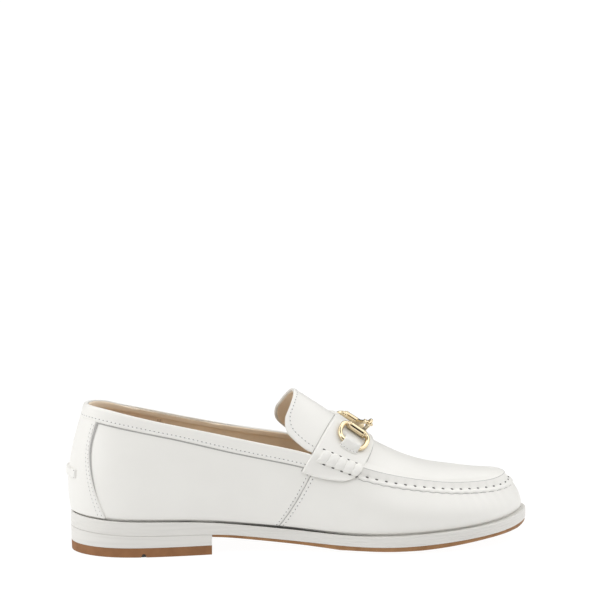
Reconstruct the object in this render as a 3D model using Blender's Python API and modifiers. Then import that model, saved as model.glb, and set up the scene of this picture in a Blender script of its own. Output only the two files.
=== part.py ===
"""Horsebit loafer for a left foot, men's EU 42: upper, sole, heel, saddle strap and bit.

The toe points along +X, the inner side of the foot faces -Y and the shoe stands on z = 0. Sizes are in
millimetres. x is measured from the back of the sole until a mesh is made, and half-widths from the line
through the middle of the heel.
"""

import math
from collections import namedtuple

import bmesh
import bpy
import numpy as np
from mathutils import Matrix, Vector

# Driving dimensions
MM = 0.001
GAP = 0.3
INNER, OUTER = -1, 1
SOLE_LENGTH = 292.0
BOX_MIDDLE = (144.55, 0.29)
UPPER_WALL = 2.2
INSOLE_THICKNESS = 2.5
INSOLE_INSET = 3.4
TIP_WIDTH = 0.5
INSIDE = np.array([150.0, 0.0, 20.0])

# Heel
HEEL_BREAST = 85.8
TOP_LIFT = 5.9
HEEL_TAPER = 0.3
GROOVE_X = 43.0
GROOVE_HALF_WIDTH = 1.6
GROOVE_DEPTH = 2.2

# Forefoot tread: the middle of the sole is lower than its edge and flat where it meets the floor
TREAD_CROWN = 2.7
TREAD_FLAT = 0.72
TREAD_BEND = 0.86
FULL_CROWN_WIDTH = 40.0
CROWN_START = 168.0
OUTSOLE_INSET = 0.4

# Upper
SIDE_SWELL_SKEW = 0.8
APRON_CROWN = 2.3
STRAP_MIDDLE = 166.0
TONGUE_END = 130.8
TONGUE_ROOT = 150.0
TONGUE_RISE = 8.0
TONGUE_RISE_POWER = 1.2
TONGUE_NARROWING = 4.5
TONGUE_SWEEP = 3.0
TONGUE_THICKNESS = 2.0
TONGUE_UNDERLAP = 0.8

# Overlays
COLLAR_BAND_HEIGHT = 9.0
COLLAR_BAND_THICKNESS = 1.0
COLLAR_BAND_END = 147.7
COLLAR_BAND_SLANT = 5.0
STAY_THICKNESS = 1.0
TAB_MIDDLE_HEIGHT = 0.385
TAB_HALF_WIDTH = 13.5
TAB_HALF_HEIGHT = 2.7
TAB_THICKNESS = 1.1
STRAP_THICKNESS = 1.6
STRAP_SEAM = 0.74
STRAP_REAR, STRAP_FRONT = 152.5, 178.5
STRAP_SWEEP = 0.155
ROLL_FOLDS = 5
ROLL_HEIGHT = 2.6
ROLL_HALF_WIDTH = 3.7
ROLL_VALLEY = 0.6
ROLL_EDGE = 0.35
ROLL_SPAN = (0.02, 1.0)

# Bit
RING_WIRE = 1.55
BARREL_RADIUS = 2.3
BARREL_HALF = 6.0
RING_HALF_LENGTH = 9.6
RING_DEPTH = 15.0
RING_SHOULDER = 5.0
RING_SQUARE = 2.8
BIT_MIDDLE = 0.475
BIT_SKEW = 0.035
BIT_BASE = 0.3
BARREL_FROM_RIDGE = 19.0
INNER_BARREL_LIFT, OUTER_BARREL_LIFT = 2.65, 5.6
RING_FOOT_LIFT = 2.0
EYE_RADIUS = 2.6
EYE_WIRE = 0.9
EYE_OVERLAP = 1.5
EYE_LIFT = 5.6
LINK_MIDDLE = 0.74
ARM_OFFSET = 3.5
ARM_RADII = (0.95, 1.3, 1.6, 1.7)
LOOP_HALF_WIDTH = 5.4
LOOP_OFFSET = 0.8
LOOP_LEATHER = 1.2
LOOP_TAIL = 4.4

# Mesh density
SIDE_STATIONS = 34
WALL_ROWS = 8
APRON_COLUMNS = 12
SEAM_STATIONS = 26
SOLE_STATIONS = 41
HEEL_STATIONS = 15
BAND_STATIONS = 49
TONGUE_COLUMNS = 15

# Plan of the sole: half-widths of its edge on both sides, and how far the upper stands back from the edge
PlanRow = namedtuple("PlanRow", "x inner outer ledge")
SOLE_PLAN = [
    PlanRow(0.0, 0.0, 0.0, 1.6),
    PlanRow(8.0, 19.0, 19.0, 1.6),
    PlanRow(24.0, 29.3, 29.3, 1.7),
    PlanRow(50.0, 33.0, 33.0, 1.8),
    PlanRow(80.0, 31.8, 33.6, 1.8),
    PlanRow(110.0, 30.2, 35.6, 1.7),
    PlanRow(140.0, 33.6, 40.3, 2.0),
    PlanRow(170.0, 42.0, 46.6, 2.8),
    PlanRow(198.0, 49.2, 51.0, 3.3),
    PlanRow(218.0, 50.6, 50.4, 3.4),
    PlanRow(242.0, 47.4, 45.6, 3.5),
    PlanRow(264.0, 39.6, 36.2, 3.5),
    PlanRow(281.0, 27.0, 20.6, 3.5),
    PlanRow(SOLE_LENGTH, 4.5, -4.5, 3.5),
]

# Side view of the sole: its top, the foot of the white layer and the edge of the tread
ProfileRow = namedtuple("ProfileRow", "x top welt tread")
SOLE_PROFILE = [
    ProfileRow(0.0, 24.5, 15.3, 14.3),
    ProfileRow(25.0, 22.8, 14.0, 13.0),
    ProfileRow(50.0, 22.0, 13.3, 12.2),
    ProfileRow(75.0, 21.0, 12.9, 11.7),
    ProfileRow(92.0, 19.5, 12.3, 10.7),
    ProfileRow(112.0, 17.1, 10.1, 8.3),
    ProfileRow(142.0, 13.8, 6.9, 4.9),
    ProfileRow(170.0, 11.4, 4.8, 2.4),
    ProfileRow(196.0, 11.4, 4.5, 1.8),
    ProfileRow(216.0, 12.3, 5.4, 2.7),
    ProfileRow(240.0, 13.6, 7.0, 4.7),
    ProfileRow(262.0, 15.3, 8.8, 7.1),
    ProfileRow(280.0, 17.4, 10.7, 9.2),
    ProfileRow(SOLE_LENGTH, 19.3, 12.7, 11.3),
]

# Top edge of the side wall: collar from the back to the strap, then the apron seam round the toe.
# lead is how far the ridge of the instep lies in front of the edge in the same section.
TopRow = namedtuple("TopRow", "x inner outer inner_height outer_height lead")
TOP_EDGE = [
    TopRow(10.0, 0.0, 0.0, 91.8, 91.8, 0.0),
    TopRow(18.0, 15.0, 15.0, 91.2, 91.0, 0.0),
    TopRow(42.0, 24.2, 24.2, 86.4, 85.4, 0.0),
    TopRow(86.0, 28.2, 28.6, 76.8, 74.8, 2.0),
    TopRow(124.0, 31.6, 32.2, 68.3, 66.8, 9.0),
    TopRow(150.0, 34.5, 35.5, 61.8, 60.9, 16.0),
    TopRow(178.0, 37.0, 38.5, 50.6, 50.2, 13.5),
    TopRow(205.0, 37.5, 38.5, 43.7, 43.5, 10.0),
    TopRow(238.0, 34.4, 34.0, 37.9, 37.9, 6.0),
    TopRow(260.0, 27.6, 25.6, 36.5, 36.5, 3.0),
    TopRow(274.0, 19.0, 15.0, 37.0, 37.0, 1.0),
    TopRow(281.5, 2.5, -2.5, 38.0, 38.0, 0.0),
]

# Ridge of the tongue and the apron in side view
RidgeRow = namedtuple("RidgeRow", "x height")
RIDGE = [
    RidgeRow(140.0, 99.8),
    RidgeRow(159.0, 87.2),
    RidgeRow(181.0, 71.8),
    RidgeRow(198.0, 60.9),
    RidgeRow(214.0, 53.0),
    RidgeRow(230.0, 47.7),
    RidgeRow(248.0, 44.9),
    RidgeRow(266.0, 43.0),
    RidgeRow(276.0, 41.2),
    RidgeRow(281.5, 38.0),
]

# How far the side wall swells beyond a straight line from the sole to its top edge
SwellRow = namedtuple("SwellRow", "x swell")
SIDE_SWELL = [
    SwellRow(0.0, 4.8),
    SwellRow(30.0, 5.2),
    SwellRow(90.0, 5.4),
    SwellRow(150.0, 5.2),
    SwellRow(200.0, 6.4),
    SwellRow(250.0, 5.3),
    SwellRow(SOLE_LENGTH, 2.2),
]

# Half-width of the tongue as a share of the instep's, from its free end (share 0) to the apron (1)
TongueRow = namedtuple("TongueRow", "share half")
TONGUE_PLAN = [
    TongueRow(0.0, 0.78),
    TongueRow(0.03, 0.86),
    TongueRow(0.075, 0.91),
    TongueRow(0.14, 0.94),
    TongueRow(0.22, 0.96),
    TongueRow(0.34, 0.97),
    TongueRow(0.46, 0.955),
    TongueRow(0.6, 0.92),
    TongueRow(1.0, 0.88),
]

# Front edge of the back stay, from the sole (level 0) to the collar (level 1)
StayRow = namedtuple("StayRow", "level x")
STAY_EDGE = [
    StayRow(0.0, 20.6),
    StayRow(0.2, 15.4),
    StayRow(0.45, 11.6),
    StayRow(0.68, 12.0),
    StayRow(0.86, 15.4),
]

# Ends of the saddle strap, from its rear edge (c = 0) to its front edge (1): lean to the rear and drop
StrapEndRow = namedtuple("StrapEndRow", "c back drop")
STRAP_END = [
    StrapEndRow(0.0, 10.6, 12.5),
    StrapEndRow(0.3, 8.4, 12.8),
    StrapEndRow(0.6, 6.0, 10.8),
    StrapEndRow(0.85, 4.1, 7.3),
    StrapEndRow(1.0, 2.4, 2.9),
]

# Height of the raised seam above the upper, by distance from the seam line: negative on the apron
SeamRow = namedtuple("SeamRow", "distance height")
SEAM_PROFILE = [
    SeamRow(-4.0, 0.4),
    SeamRow(-2.9, 1.1),
    SeamRow(-1.5, 1.5),
    SeamRow(0.0, 1.0),
    SeamRow(1.3, 1.7),
    SeamRow(2.4, 1.5),
    SeamRow(2.9, 0.6),
]
SEAM_START = 182.0


# Curves and surfaces


def column(rows, name):
    """One named column of a table."""
    return np.array([getattr(row, name) for row in rows], float)


def spline(keys, values, at):
    """Natural cubic curve through the points (keys, values), read at each number in at."""
    count = len(keys)
    step = np.diff(keys)
    slope = np.diff(values) / step
    system = np.eye(count)
    right = np.zeros(count)
    for i in range(1, count - 1):
        system[i, i - 1:i + 2] = step[i - 1], 2 * (step[i - 1] + step[i]), step[i]
        right[i] = 6 * (slope[i] - slope[i - 1])
    bend = np.linalg.solve(system, right)
    at = np.asarray(at, float)
    inside = np.clip(at, keys[0], keys[-1])
    i = np.clip(np.searchsorted(keys, inside, side="right") - 1, 0, count - 2)
    run = inside - keys[i]
    start = slope[i] - step[i] * (2 * bend[i] + bend[i + 1]) / 6
    change = (bend[i + 1] - bend[i]) / step[i]
    value = values[i] + run * (start + run * (bend[i] / 2 + run * change / 6))
    end_slope = start + run * (bend[i] + run * change / 2)
    return value + (at - inside) * end_slope


def ease(t):
    """Share of the length at t: slow at both ends, which rounds heel and toe."""
    return (1 - np.cos(np.pi * np.asarray(t, float))) / 2


def unease(share):
    """The t at a share of the length."""
    return np.arccos(np.clip(1 - 2 * np.asarray(share, float), -1, 1)) / np.pi


def along(rows, name, t):
    """A column of a plan table, read at t from the heel (0) to the toe (1)."""
    x = column(rows, "x")
    keys = unease((x - x[0]) / (x[-1] - x[0]))
    return spline(keys, column(rows, name), t)


def edge_x(rows, t):
    """Distance from the heel of a plan table's edge at t."""
    return rows[0].x + (rows[-1].x - rows[0].x) * ease(t)


def edge_t(rows, x):
    """The t at which a plan table's edge is at x."""
    return unease((np.asarray(x, float) - rows[0].x) / (rows[-1].x - rows[0].x))


def plan_edge(rows, a):
    """Plan point of an edge at a: 0 at the back, -1 at the toe by the inner side, 1 by the outer."""
    t = np.abs(a)
    width = np.where(a < 0, -along(rows, "inner", t), along(rows, "outer", t))
    return np.stack([edge_x(rows, t), width], -1)


def plan_outward(rows, a):
    """Unit plan direction out of the shoe at a."""
    small = 1e-4
    run = plan_edge(rows, a + small) - plan_edge(rows, a - small)
    out = np.stack([-run[..., 1], run[..., 0]], -1)
    return out / np.linalg.norm(out, axis=-1, keepdims=True)


def sole_height(name, x):
    """Height of one layer of the sole at x."""
    return spline(column(SOLE_PROFILE, "x"), column(SOLE_PROFILE, name), x)


def sole_edge(a, inset=0.0):
    """Plan point on the sole's edge, set in by inset."""
    return plan_edge(SOLE_PLAN, a) - plan_outward(SOLE_PLAN, a) * np.reshape(inset, (-1, 1))


def feather(a, inset=0.0):
    """Foot of the upper on the sole, set in by inset."""
    ledge = along(SOLE_PLAN, "ledge", np.abs(a)) + inset
    plan = sole_edge(a, ledge)
    return np.column_stack([plan, sole_height("top", plan[:, 0]) + GAP])


def top_edge(a):
    """Collar or apron seam at a."""
    t = np.abs(a)
    inner = along(TOP_EDGE, "inner_height", t)
    outer = along(TOP_EDGE, "outer_height", t)
    return np.column_stack([plan_edge(TOP_EDGE, a), np.where(a < 0, inner, outer)])


def side_wall(a, level):
    """Outer face of the upper's wall: level 0 at the sole, 1 at the top edge."""
    a, level = np.broadcast_arrays(np.asarray(a, float), np.asarray(level, float))
    foot, top = feather(a.ravel()), top_edge(a.ravel())
    rise = level.reshape(-1, 1)
    out = plan_outward(SOLE_PLAN, a.ravel()) + plan_outward(TOP_EDGE, a.ravel())
    out /= np.linalg.norm(out, axis=-1, keepdims=True)
    swell = spline(column(SIDE_SWELL, "x"), column(SIDE_SWELL, "swell"), foot[:, 0])
    point = foot + (top - foot) * rise
    share = np.clip(rise, 0, 1) ** SIDE_SWELL_SKEW
    point[:, :2] += out * swell.reshape(-1, 1) * np.sin(np.pi * share)
    return point.reshape(a.shape + (3,))


def instep(x, q):
    """Arch over the foot from the inner top edge (q = -1) by the ridge (0) to the outer (1) in one section."""
    x, q = np.broadcast_arrays(np.asarray(x, float), np.asarray(q, float))
    t = edge_t(TOP_EDGE, x.ravel())
    across = q.reshape(-1, 1)
    inner, outer = top_edge(-t), top_edge(t)
    middle = (inner + outer) / 2
    ridge_x = middle[:, 0] + along(TOP_EDGE, "lead", t)
    ridge_height = spline(column(RIDGE, "x"), column(RIDGE, "height"), ridge_x)
    ridge = np.column_stack([ridge_x, middle[:, 1], ridge_height])
    edge = np.where(across < 0, inner, outer)
    point = edge + (ridge - edge) * (1 - np.abs(across) ** APRON_CROWN)
    point[:, 1] = (middle + (edge - middle) * np.abs(across))[:, 1]
    return point.reshape(x.shape + (3,))


def tongue_face(x, q):
    """The instep with its sides lifted, drawn in and swept back behind the strap, for the free tongue."""
    x, q = np.broadcast_arrays(np.asarray(x, float), np.asarray(q, float))
    point = instep(x, q)
    free = np.clip((TONGUE_ROOT - x) / (TONGUE_ROOT - TONGUE_END), 0, None) ** TONGUE_RISE_POWER
    point[..., 2] += free * TONGUE_RISE * np.abs(q) ** APRON_CROWN
    point[..., 1] -= free * TONGUE_NARROWING * q
    point[..., 0] -= free * TONGUE_SWEEP * q ** 2
    return point


def strap_face(c, w):
    """Ground under the saddle strap: c from its rear to its front edge, w from its inner to its outer end."""
    c, w = np.broadcast_arrays(np.asarray(c, float), np.asarray(w, float))
    seam_x = STRAP_REAR + (STRAP_FRONT - STRAP_REAR) * c
    arch = instep(seam_x, np.clip(w / STRAP_SEAM, -1, 1))
    end = np.clip((np.abs(w) - STRAP_SEAM) / (1 - STRAP_SEAM), 0, None)
    back = end * spline(column(STRAP_END, "c"), column(STRAP_END, "back"), c)
    drop = end * spline(column(STRAP_END, "c"), column(STRAP_END, "drop"), c)
    a = np.sign(w) * edge_t(TOP_EDGE, seam_x - back)
    height = top_edge(a.ravel())[:, 2] - feather(a.ravel())[:, 2]
    wall = side_wall(a, 1 - drop / height.reshape(a.shape))
    return np.where((end > 0)[..., None], wall, arch)


def lifted(face, u, v, height):
    """Points of a surface face(u, v), raised along its outward normal."""
    small = 1e-3
    run = face(u + small, v) - face(u - small, v)
    climb = face(u, v + small) - face(u, v - small)
    normal = np.cross(run, climb)
    point = face(u, v)
    normal /= np.linalg.norm(normal, axis=-1, keepdims=True)
    outward = np.sign(np.sum(normal * (point - INSIDE), -1, keepdims=True))
    return point + normal * outward * np.asarray(height)[..., None]


# Meshes


def make_material(name, colour, roughness, metallic=0.0):
    material = bpy.data.materials.new(name)
    material.use_nodes = True
    shader = material.node_tree.nodes["Principled BSDF"]
    shader.inputs["Base Color"].default_value = (*colour, 1.0)
    shader.inputs["Roughness"].default_value = roughness
    shader.inputs["Metallic"].default_value = metallic
    return material


def add_object(name, mesh, material):
    """Object in the shoe's collection, placed so that the origin is under the middle of the shoe."""
    shape = bpy.data.objects.new(name, mesh)
    mesh.materials.clear()
    mesh.materials.append(material)
    mesh.shade_smooth()
    mesh.set_sharp_from_angle(angle=math.radians(40))
    parts.objects.link(shape)
    shape.parent = middle
    return shape


def mesh_of(name, points, faces, closed):
    """Mesh through points in millimetres. Equal points are joined, and the faces point out of the shoe."""
    mesh = bpy.data.meshes.new(name)
    mesh.from_pydata((np.asarray(points) * MM).tolist(), [], faces)
    work = bmesh.new()
    work.from_mesh(mesh)
    bmesh.ops.remove_doubles(work, verts=work.verts, dist=0.02 * MM)
    bmesh.ops.recalc_face_normals(work, faces=work.faces)
    if not closed:
        inside = Vector(INSIDE * MM)
        facing = sum(face.normal.dot(face.calc_center_median() - inside) for face in work.faces)
        if facing < 0:
            bmesh.ops.reverse_faces(work, faces=work.faces)
    work.to_mesh(mesh)
    work.free()
    return mesh


def grid_faces(rows, columns, start=0):
    """Quads of a grid of points that is stored row by row."""
    return [
        (start + i * columns + j, start + i * columns + j + 1,
         start + (i + 1) * columns + j + 1, start + (i + 1) * columns + j)
        for i in range(rows - 1) for j in range(columns - 1)
    ]


def add_shell(name, grids, thickness, side, material):
    """Open surface of one or more grids, given a thickness inward (-1) or outward (1)."""
    points, faces = [], []
    for grid in grids:
        rows, columns = grid.shape[:2]
        faces += grid_faces(rows, columns, len(points))
        points += grid.reshape(-1, 3).tolist()
    shape = add_object(name, mesh_of(name, points, faces, closed=False), material)
    wall = shape.modifiers.new("wall", "SOLIDIFY")
    wall.thickness = thickness * MM
    wall.offset = side
    wall.use_even_offset = True
    return shape


def add_slab(name, top, bottom, material):
    """Closed solid between two grids of points of the same size."""
    rows, columns = top.shape[:2]
    count = rows * columns
    rim = list(range(columns))
    rim += [i * columns + columns - 1 for i in range(1, rows)]
    rim += [(rows - 1) * columns + j for j in range(columns - 2, -1, -1)]
    rim += [i * columns for i in range(rows - 2, 0, -1)]
    faces = grid_faces(rows, columns) + grid_faces(rows, columns, count)
    for here, there in zip(rim, rim[1:] + rim[:1]):
        faces.append((here, there, count + there, count + here))
    points = np.concatenate([top.reshape(-1, 3), bottom.reshape(-1, 3)])
    return add_object(name, mesh_of(name, points, faces, closed=True), material)


def add_loft(name, sections, material):
    """Closed solid through sections that are closed loops of points, with flat ends."""
    count, ring = sections.shape[:2]
    faces = [tuple(range(ring)), tuple((count - 1) * ring + j for j in range(ring))]
    for i in range(count - 1):
        for j in range(ring):
            k = (j + 1) % ring
            faces.append((i * ring + j, i * ring + k, (i + 1) * ring + k, (i + 1) * ring + j))
    return add_object(name, mesh_of(name, sections.reshape(-1, 3), faces, closed=True), material)


# Sole and heel


def span(inner, outer, shares):
    """Grid of lines from an inner edge (share -1) to an outer edge (1); where the edges meet, one point."""
    apart = np.linalg.norm(outer - inner, axis=1, keepdims=True) > TIP_WIDTH
    reach = np.where(apart, outer - inner, 0) / 2
    return ((inner + outer) / 2)[:, None, :] + reach[:, None, :] * np.asarray(shares)[None, :, None]


def across_sole(x, inset, shares):
    """Plan points across the sole at each x."""
    t = edge_t(SOLE_PLAN, x)
    return span(sole_edge(-t, inset), sole_edge(t, inset), shares)


def with_height(plan, height):
    """Plan grid with a height for each row, or for each point."""
    height = np.asarray(height, float)
    if height.ndim == 1:
        height = height[:, None]
    height = np.broadcast_to(height, plan.shape[:2])
    return np.concatenate([plan, height[..., None]], -1)


def add_midsole(material):
    x = edge_x(SOLE_PLAN, np.linspace(0, 1, SOLE_STATIONS))
    plan = across_sole(x, 0.0, np.linspace(-1, 1, 5))
    top = with_height(plan, sole_height("top", plan[..., 0]))
    bottom = with_height(plan, sole_height("welt", plan[..., 0]) + GAP / 2)
    return add_slab("midsole", top, bottom, material)


def add_outsole(material):
    start = edge_t(SOLE_PLAN, HEEL_BREAST + GAP)
    x = edge_x(SOLE_PLAN, np.linspace(start, 1, SIDE_STATIONS))
    shares = np.array([-1, -TREAD_BEND, -TREAD_FLAT, 0, TREAD_FLAT, TREAD_BEND, 1])
    plan = across_sole(x, OUTSOLE_INSET, shares)
    top = with_height(plan, sole_height("welt", plan[..., 0]) - GAP / 2)
    edge = sole_height("tread", plan[..., 0])
    fall = np.clip((1 - np.abs(shares)) / (1 - TREAD_FLAT), 0, 1)
    width = plan[:, -1:, 1] - plan[:, :1, 1]
    waist = np.clip((plan[..., 0] - HEEL_BREAST) / (CROWN_START - HEEL_BREAST), 0, 1)
    crown = TREAD_CROWN * np.clip(width / FULL_CROWN_WIDTH, 0, 1) * waist ** 2
    middle = np.clip(edge - crown, 0, None)
    bottom = with_height(plan, edge + (middle - edge) * fall * (2 - fall))
    return add_slab("outsole", top, bottom, material)


def heel_rows(taper, stations):
    """Plan grid of the heel, from its back to its flat breast."""
    t = np.linspace(0, float(edge_t(SOLE_PLAN, HEEL_BREAST)), HEEL_STATIONS)
    x = np.unique(np.concatenate([edge_x(SOLE_PLAN, t), stations]))
    plan = across_sole(x, taper, np.linspace(-1, 1, 5))
    plan[-1, :, 0] = HEEL_BREAST
    return plan


def add_heel_block(material):
    top_plan, bottom_plan = heel_rows(0.0, []), heel_rows(HEEL_TAPER / 2, [])
    top = with_height(top_plan, sole_height("welt", top_plan[..., 0]) - GAP / 2)
    return add_slab("heel_block", top, with_height(bottom_plan, TOP_LIFT + GAP / 2), material)


def add_heel_top_lift(material):
    groove = [GROOVE_X - GROOVE_HALF_WIDTH, GROOVE_X, GROOVE_X + GROOVE_HALF_WIDTH]
    top_plan, bottom_plan = heel_rows(HEEL_TAPER / 2, groove), heel_rows(HEEL_TAPER, groove)
    notch = 1 - np.abs(top_plan[:, 2, 0] - GROOVE_X) / GROOVE_HALF_WIDTH
    bottom = with_height(bottom_plan, GROOVE_DEPTH * np.clip(notch, 0, 1))
    return add_slab("heel_top_lift", with_height(top_plan, TOP_LIFT - GAP / 2), bottom, material)


def add_insole(material):
    a = np.linspace(0, 1, SIDE_STATIONS)
    inset = UPPER_WALL + INSOLE_INSET
    bottom = span(feather(-a, inset), feather(a, inset), np.linspace(-1, 1, 4))
    top = bottom + np.array([0, 0, INSOLE_THICKNESS])
    return add_slab("insole", top, bottom, material)


# Upper and tongue


def add_upper(material):
    """Side wall round the whole foot and the apron between its seams, as one open surface with a wall."""
    t = np.linspace(0, 1, SIDE_STATIONS)
    rear = np.abs(t - edge_t(TOP_EDGE, STRAP_MIDDLE)).argmin()
    t[rear] = edge_t(TOP_EDGE, STRAP_MIDDLE)
    around = np.concatenate([-t[::-1], t[1:]])
    wall = side_wall(around[:, None], np.linspace(0, 1, WALL_ROWS + 1)[None, :])
    seam = edge_x(TOP_EDGE, t[rear:])
    apron = instep(seam[:, None], np.linspace(-1, 1, APRON_COLUMNS + 1)[None, :])
    return add_shell("upper", [wall, apron], UPPER_WALL, -1, material)


def add_tongue(material):
    x = TONGUE_END + (STRAP_MIDDLE - TONGUE_UNDERLAP - TONGUE_END) * column(TONGUE_PLAN, "share")
    q = column(TONGUE_PLAN, "half")[:, None] * np.linspace(-1, 1, TONGUE_COLUMNS)[None, :]
    return add_shell("tongue", [tongue_face(x[:, None], q)], TONGUE_THICKNESS, -1, material)


# Overlays


def level_below_top(a, distance):
    """Level on the wall that lies a distance below the top edge."""
    height = top_edge(a)[:, 2] - feather(a)[:, 2]
    return 1 - distance / height


def add_collar_band(material):
    end = float(edge_t(TOP_EDGE, COLLAR_BAND_END))
    around = np.linspace(-end, end, BAND_STATIONS)
    share = np.linspace(0, 1, 4)
    slant = end - float(edge_t(TOP_EDGE, COLLAR_BAND_END - COLLAR_BAND_SLANT))
    a = around[:, None] - (around / end)[:, None] ** 9 * slant * (1 - share)[None, :]
    low = level_below_top(a.ravel(), COLLAR_BAND_HEIGHT).reshape(a.shape)
    level = low + (1 - low) * share[None, :]
    band = lifted(side_wall, a, level, np.full(a.shape, GAP))
    return add_shell("collar_band", [band], COLLAR_BAND_THICKNESS, 1, material)


def stay_reach(level):
    """The a at which the back stay's front edge lies, at each level."""
    target = spline(column(STAY_EDGE, "level"), column(STAY_EDGE, "x"), level)
    t = np.linspace(0, 0.4, 161)
    return np.array([np.interp(goal, side_wall(t, one)[:, 0], t) for goal, one in zip(target, level)])


def add_back_stay(material):
    high = float(level_below_top(np.zeros(1), COLLAR_BAND_HEIGHT + 2 * GAP)[0])
    level = np.linspace(0.02, high, 9)
    a = stay_reach(level)[:, None] * np.linspace(-1, 1, 15)[None, :]
    high_here = level_below_top(a.ravel(), COLLAR_BAND_HEIGHT + 2 * GAP).reshape(a.shape)
    stay = lifted(side_wall, a, level[:, None] / high * high_here, np.full(a.shape, GAP))
    return add_shell("back_stay", [stay], STAY_THICKNESS, 1, material)


def add_heel_tab(material):
    t = np.linspace(0, 0.3, 121)
    half = np.interp(TAB_HALF_WIDTH, side_wall(t, TAB_MIDDLE_HEIGHT)[:, 1], t)
    height = top_edge(np.zeros(1))[0, 2] - feather(np.zeros(1))[0, 2]
    level = TAB_MIDDLE_HEIGHT + TAB_HALF_HEIGHT / height * np.linspace(-1, 1, 4)
    a = half * np.linspace(-1, 1, 13)[:, None] * np.ones(4)[None, :]
    lift = np.full(a.shape, 2 * GAP + STAY_THICKNESS)
    tab = lifted(side_wall, a, level[None, :] * np.ones(a.shape), lift)
    return add_shell("heel_tab", [tab], TAB_THICKNESS, 1, material)


def add_apron_seam(material):
    """Raised seam whose sections follow the apron above the seam line and the wall below it."""
    start = float(edge_t(TOP_EDGE, SEAM_START))
    t = np.linspace(start, 1, SEAM_STATIONS)
    around = np.concatenate([-t, t[-2::-1]])
    top = top_edge(around)
    height = top[:, 2] - feather(around)[:, 2]
    base, normal = [], []
    for row in SEAM_PROFILE:
        point = seam_ground(around, top, height, row.distance)
        above = seam_ground(around, top, height, row.distance - 0.4)
        below = seam_ground(around, top, height, row.distance + 0.4)
        run = np.gradient(point, axis=0)
        out = np.cross(run, below - above)
        out /= np.linalg.norm(out, axis=-1, keepdims=True)
        facing = np.sign(np.sum(out * (point - INSIDE), -1, keepdims=True))
        base.append(point)
        normal.append(out * facing)
    height_column = column(SEAM_PROFILE, "height")
    face = [point + out * (GAP + rise) for point, out, rise in zip(base, normal, height_column)]
    foot = [point + out * GAP for point, out in zip(base, normal)]
    sections = np.stack(face + foot[::-1], 1)
    return add_loft("apron_seam", sections, material)


def seam_ground(around, top, height, distance):
    """Point of the upper at a distance from the seam: on the wall below it, or on the apron within it."""
    if distance > 0:
        return side_wall(around, 1 - distance / height)
    middle_y = (top_edge(-np.abs(around))[:, 1] + top_edge(np.abs(around))[:, 1]) / 2
    half = np.maximum(np.abs(top[:, 1] - middle_y), 6.0)
    tip = np.clip((np.abs(around) - 0.8) / 0.2, 0, 1)
    x = top[:, 0] + distance * tip ** 2
    t = edge_t(TOP_EDGE, x)
    here = np.clip(1 + distance * (1 - tip ** 3) / half, 0, 1)
    edge_half = np.abs(top_edge(np.sign(around) * t)[:, 1] - middle_y)
    q = np.sign(around) * np.clip(here * np.abs(top[:, 1] - middle_y) / np.maximum(edge_half, 1e-3), 0, 1)
    return instep(x, q)


def strap_rear(w):
    """The c of the strap's rear edge, which is swept back most where the strap crosses the seam."""
    crossing = np.sin(np.pi / 2 * np.clip(np.abs(w) / STRAP_SEAM, 0, 1))
    end = np.clip((np.abs(w) - STRAP_SEAM) / (1 - STRAP_SEAM), 0, 1)
    return STRAP_SWEEP * (end - crossing)


def add_saddle_strap(material):
    share = np.linspace(0, 1, 7)
    w = np.concatenate([np.linspace(-1, -STRAP_SEAM, 5), np.linspace(-STRAP_SEAM, STRAP_SEAM, 19)[1:-1],
                        np.linspace(STRAP_SEAM, 1, 5)])
    share, w = np.meshgrid(share, w, indexing="ij")
    c = strap_rear(w) * (1 - share) + share
    strap = lifted(strap_face, c, w, np.full(c.shape, GAP))
    return add_shell("saddle_strap", [strap], STRAP_THICKNESS, 1, material)


def roll_across(c, reach, side):
    """The w on the strap of a point of a roll, with reach from its upper edge (-1) to its lower edge (1)."""
    drop = spline(column(STRAP_END, "c"), column(STRAP_END, "drop"), c)
    above = ROLL_HALF_WIDTH / half_arch()
    below = ROLL_HALF_WIDTH / drop * (1 - STRAP_SEAM)
    return side * (STRAP_SEAM + reach * np.where(reach < 0, above, below))


def add_strap_roll(name, side, material):
    """Gathered folds over the seam at one end of the strap."""
    c = np.linspace(*ROLL_SPAN, 4 * ROLL_FOLDS + 1)
    turn = np.linspace(0, math.pi * ROLL_FOLDS, len(c))
    c, reach = np.meshgrid(c, np.linspace(-1, 1, 7), indexing="ij")
    w = roll_across(c, reach, side)
    ground = GAP + STRAP_THICKNESS + GAP
    fold = ROLL_VALLEY + (1 - ROLL_VALLEY) * np.abs(np.sin(turn))
    crown = ROLL_EDGE + ROLL_HEIGHT * fold[:, None] * np.sqrt(1 - reach ** 2)
    bottom = lifted(strap_face, c, w, np.full(c.shape, ground))
    top = lifted(strap_face, c, w, ground + crown)
    return add_slab(name, top, bottom, material)


# Bit


def bit_frame(side):
    """Matrix of one half of the bit: its barrel lies on X, its ring runs along Y off the ridge, Z is up."""
    surface = GAP + STRAP_THICKNESS
    centre_w = side * BARREL_FROM_RIDGE / half_arch()
    foot_w = side * (BARREL_FROM_RIDGE + RING_DEPTH) / half_arch()
    one = np.ones(1)
    c = BIT_MIDDLE + BIT_SKEW * side
    lift = INNER_BARREL_LIFT if side == INNER else OUTER_BARREL_LIFT
    barrel = lifted(strap_face, c * one, centre_w * one, one * (surface + lift))[0]
    foot = lifted(strap_face, c * one, foot_w * one, one * (surface + RING_FOOT_LIFT))[0]
    middle_w = (centre_w + foot_w) / 2
    forward = strap_face(c + BIT_BASE, middle_w) - strap_face(c - BIT_BASE, middle_w)
    away = Vector(foot - barrel).normalized()
    up = Vector(forward).cross(away).normalized() * side
    lengthwise = away.cross(up).normalized()
    return Matrix.Translation(Vector(barrel)) @ Matrix((lengthwise, away, up)).transposed().to_4x4()


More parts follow.
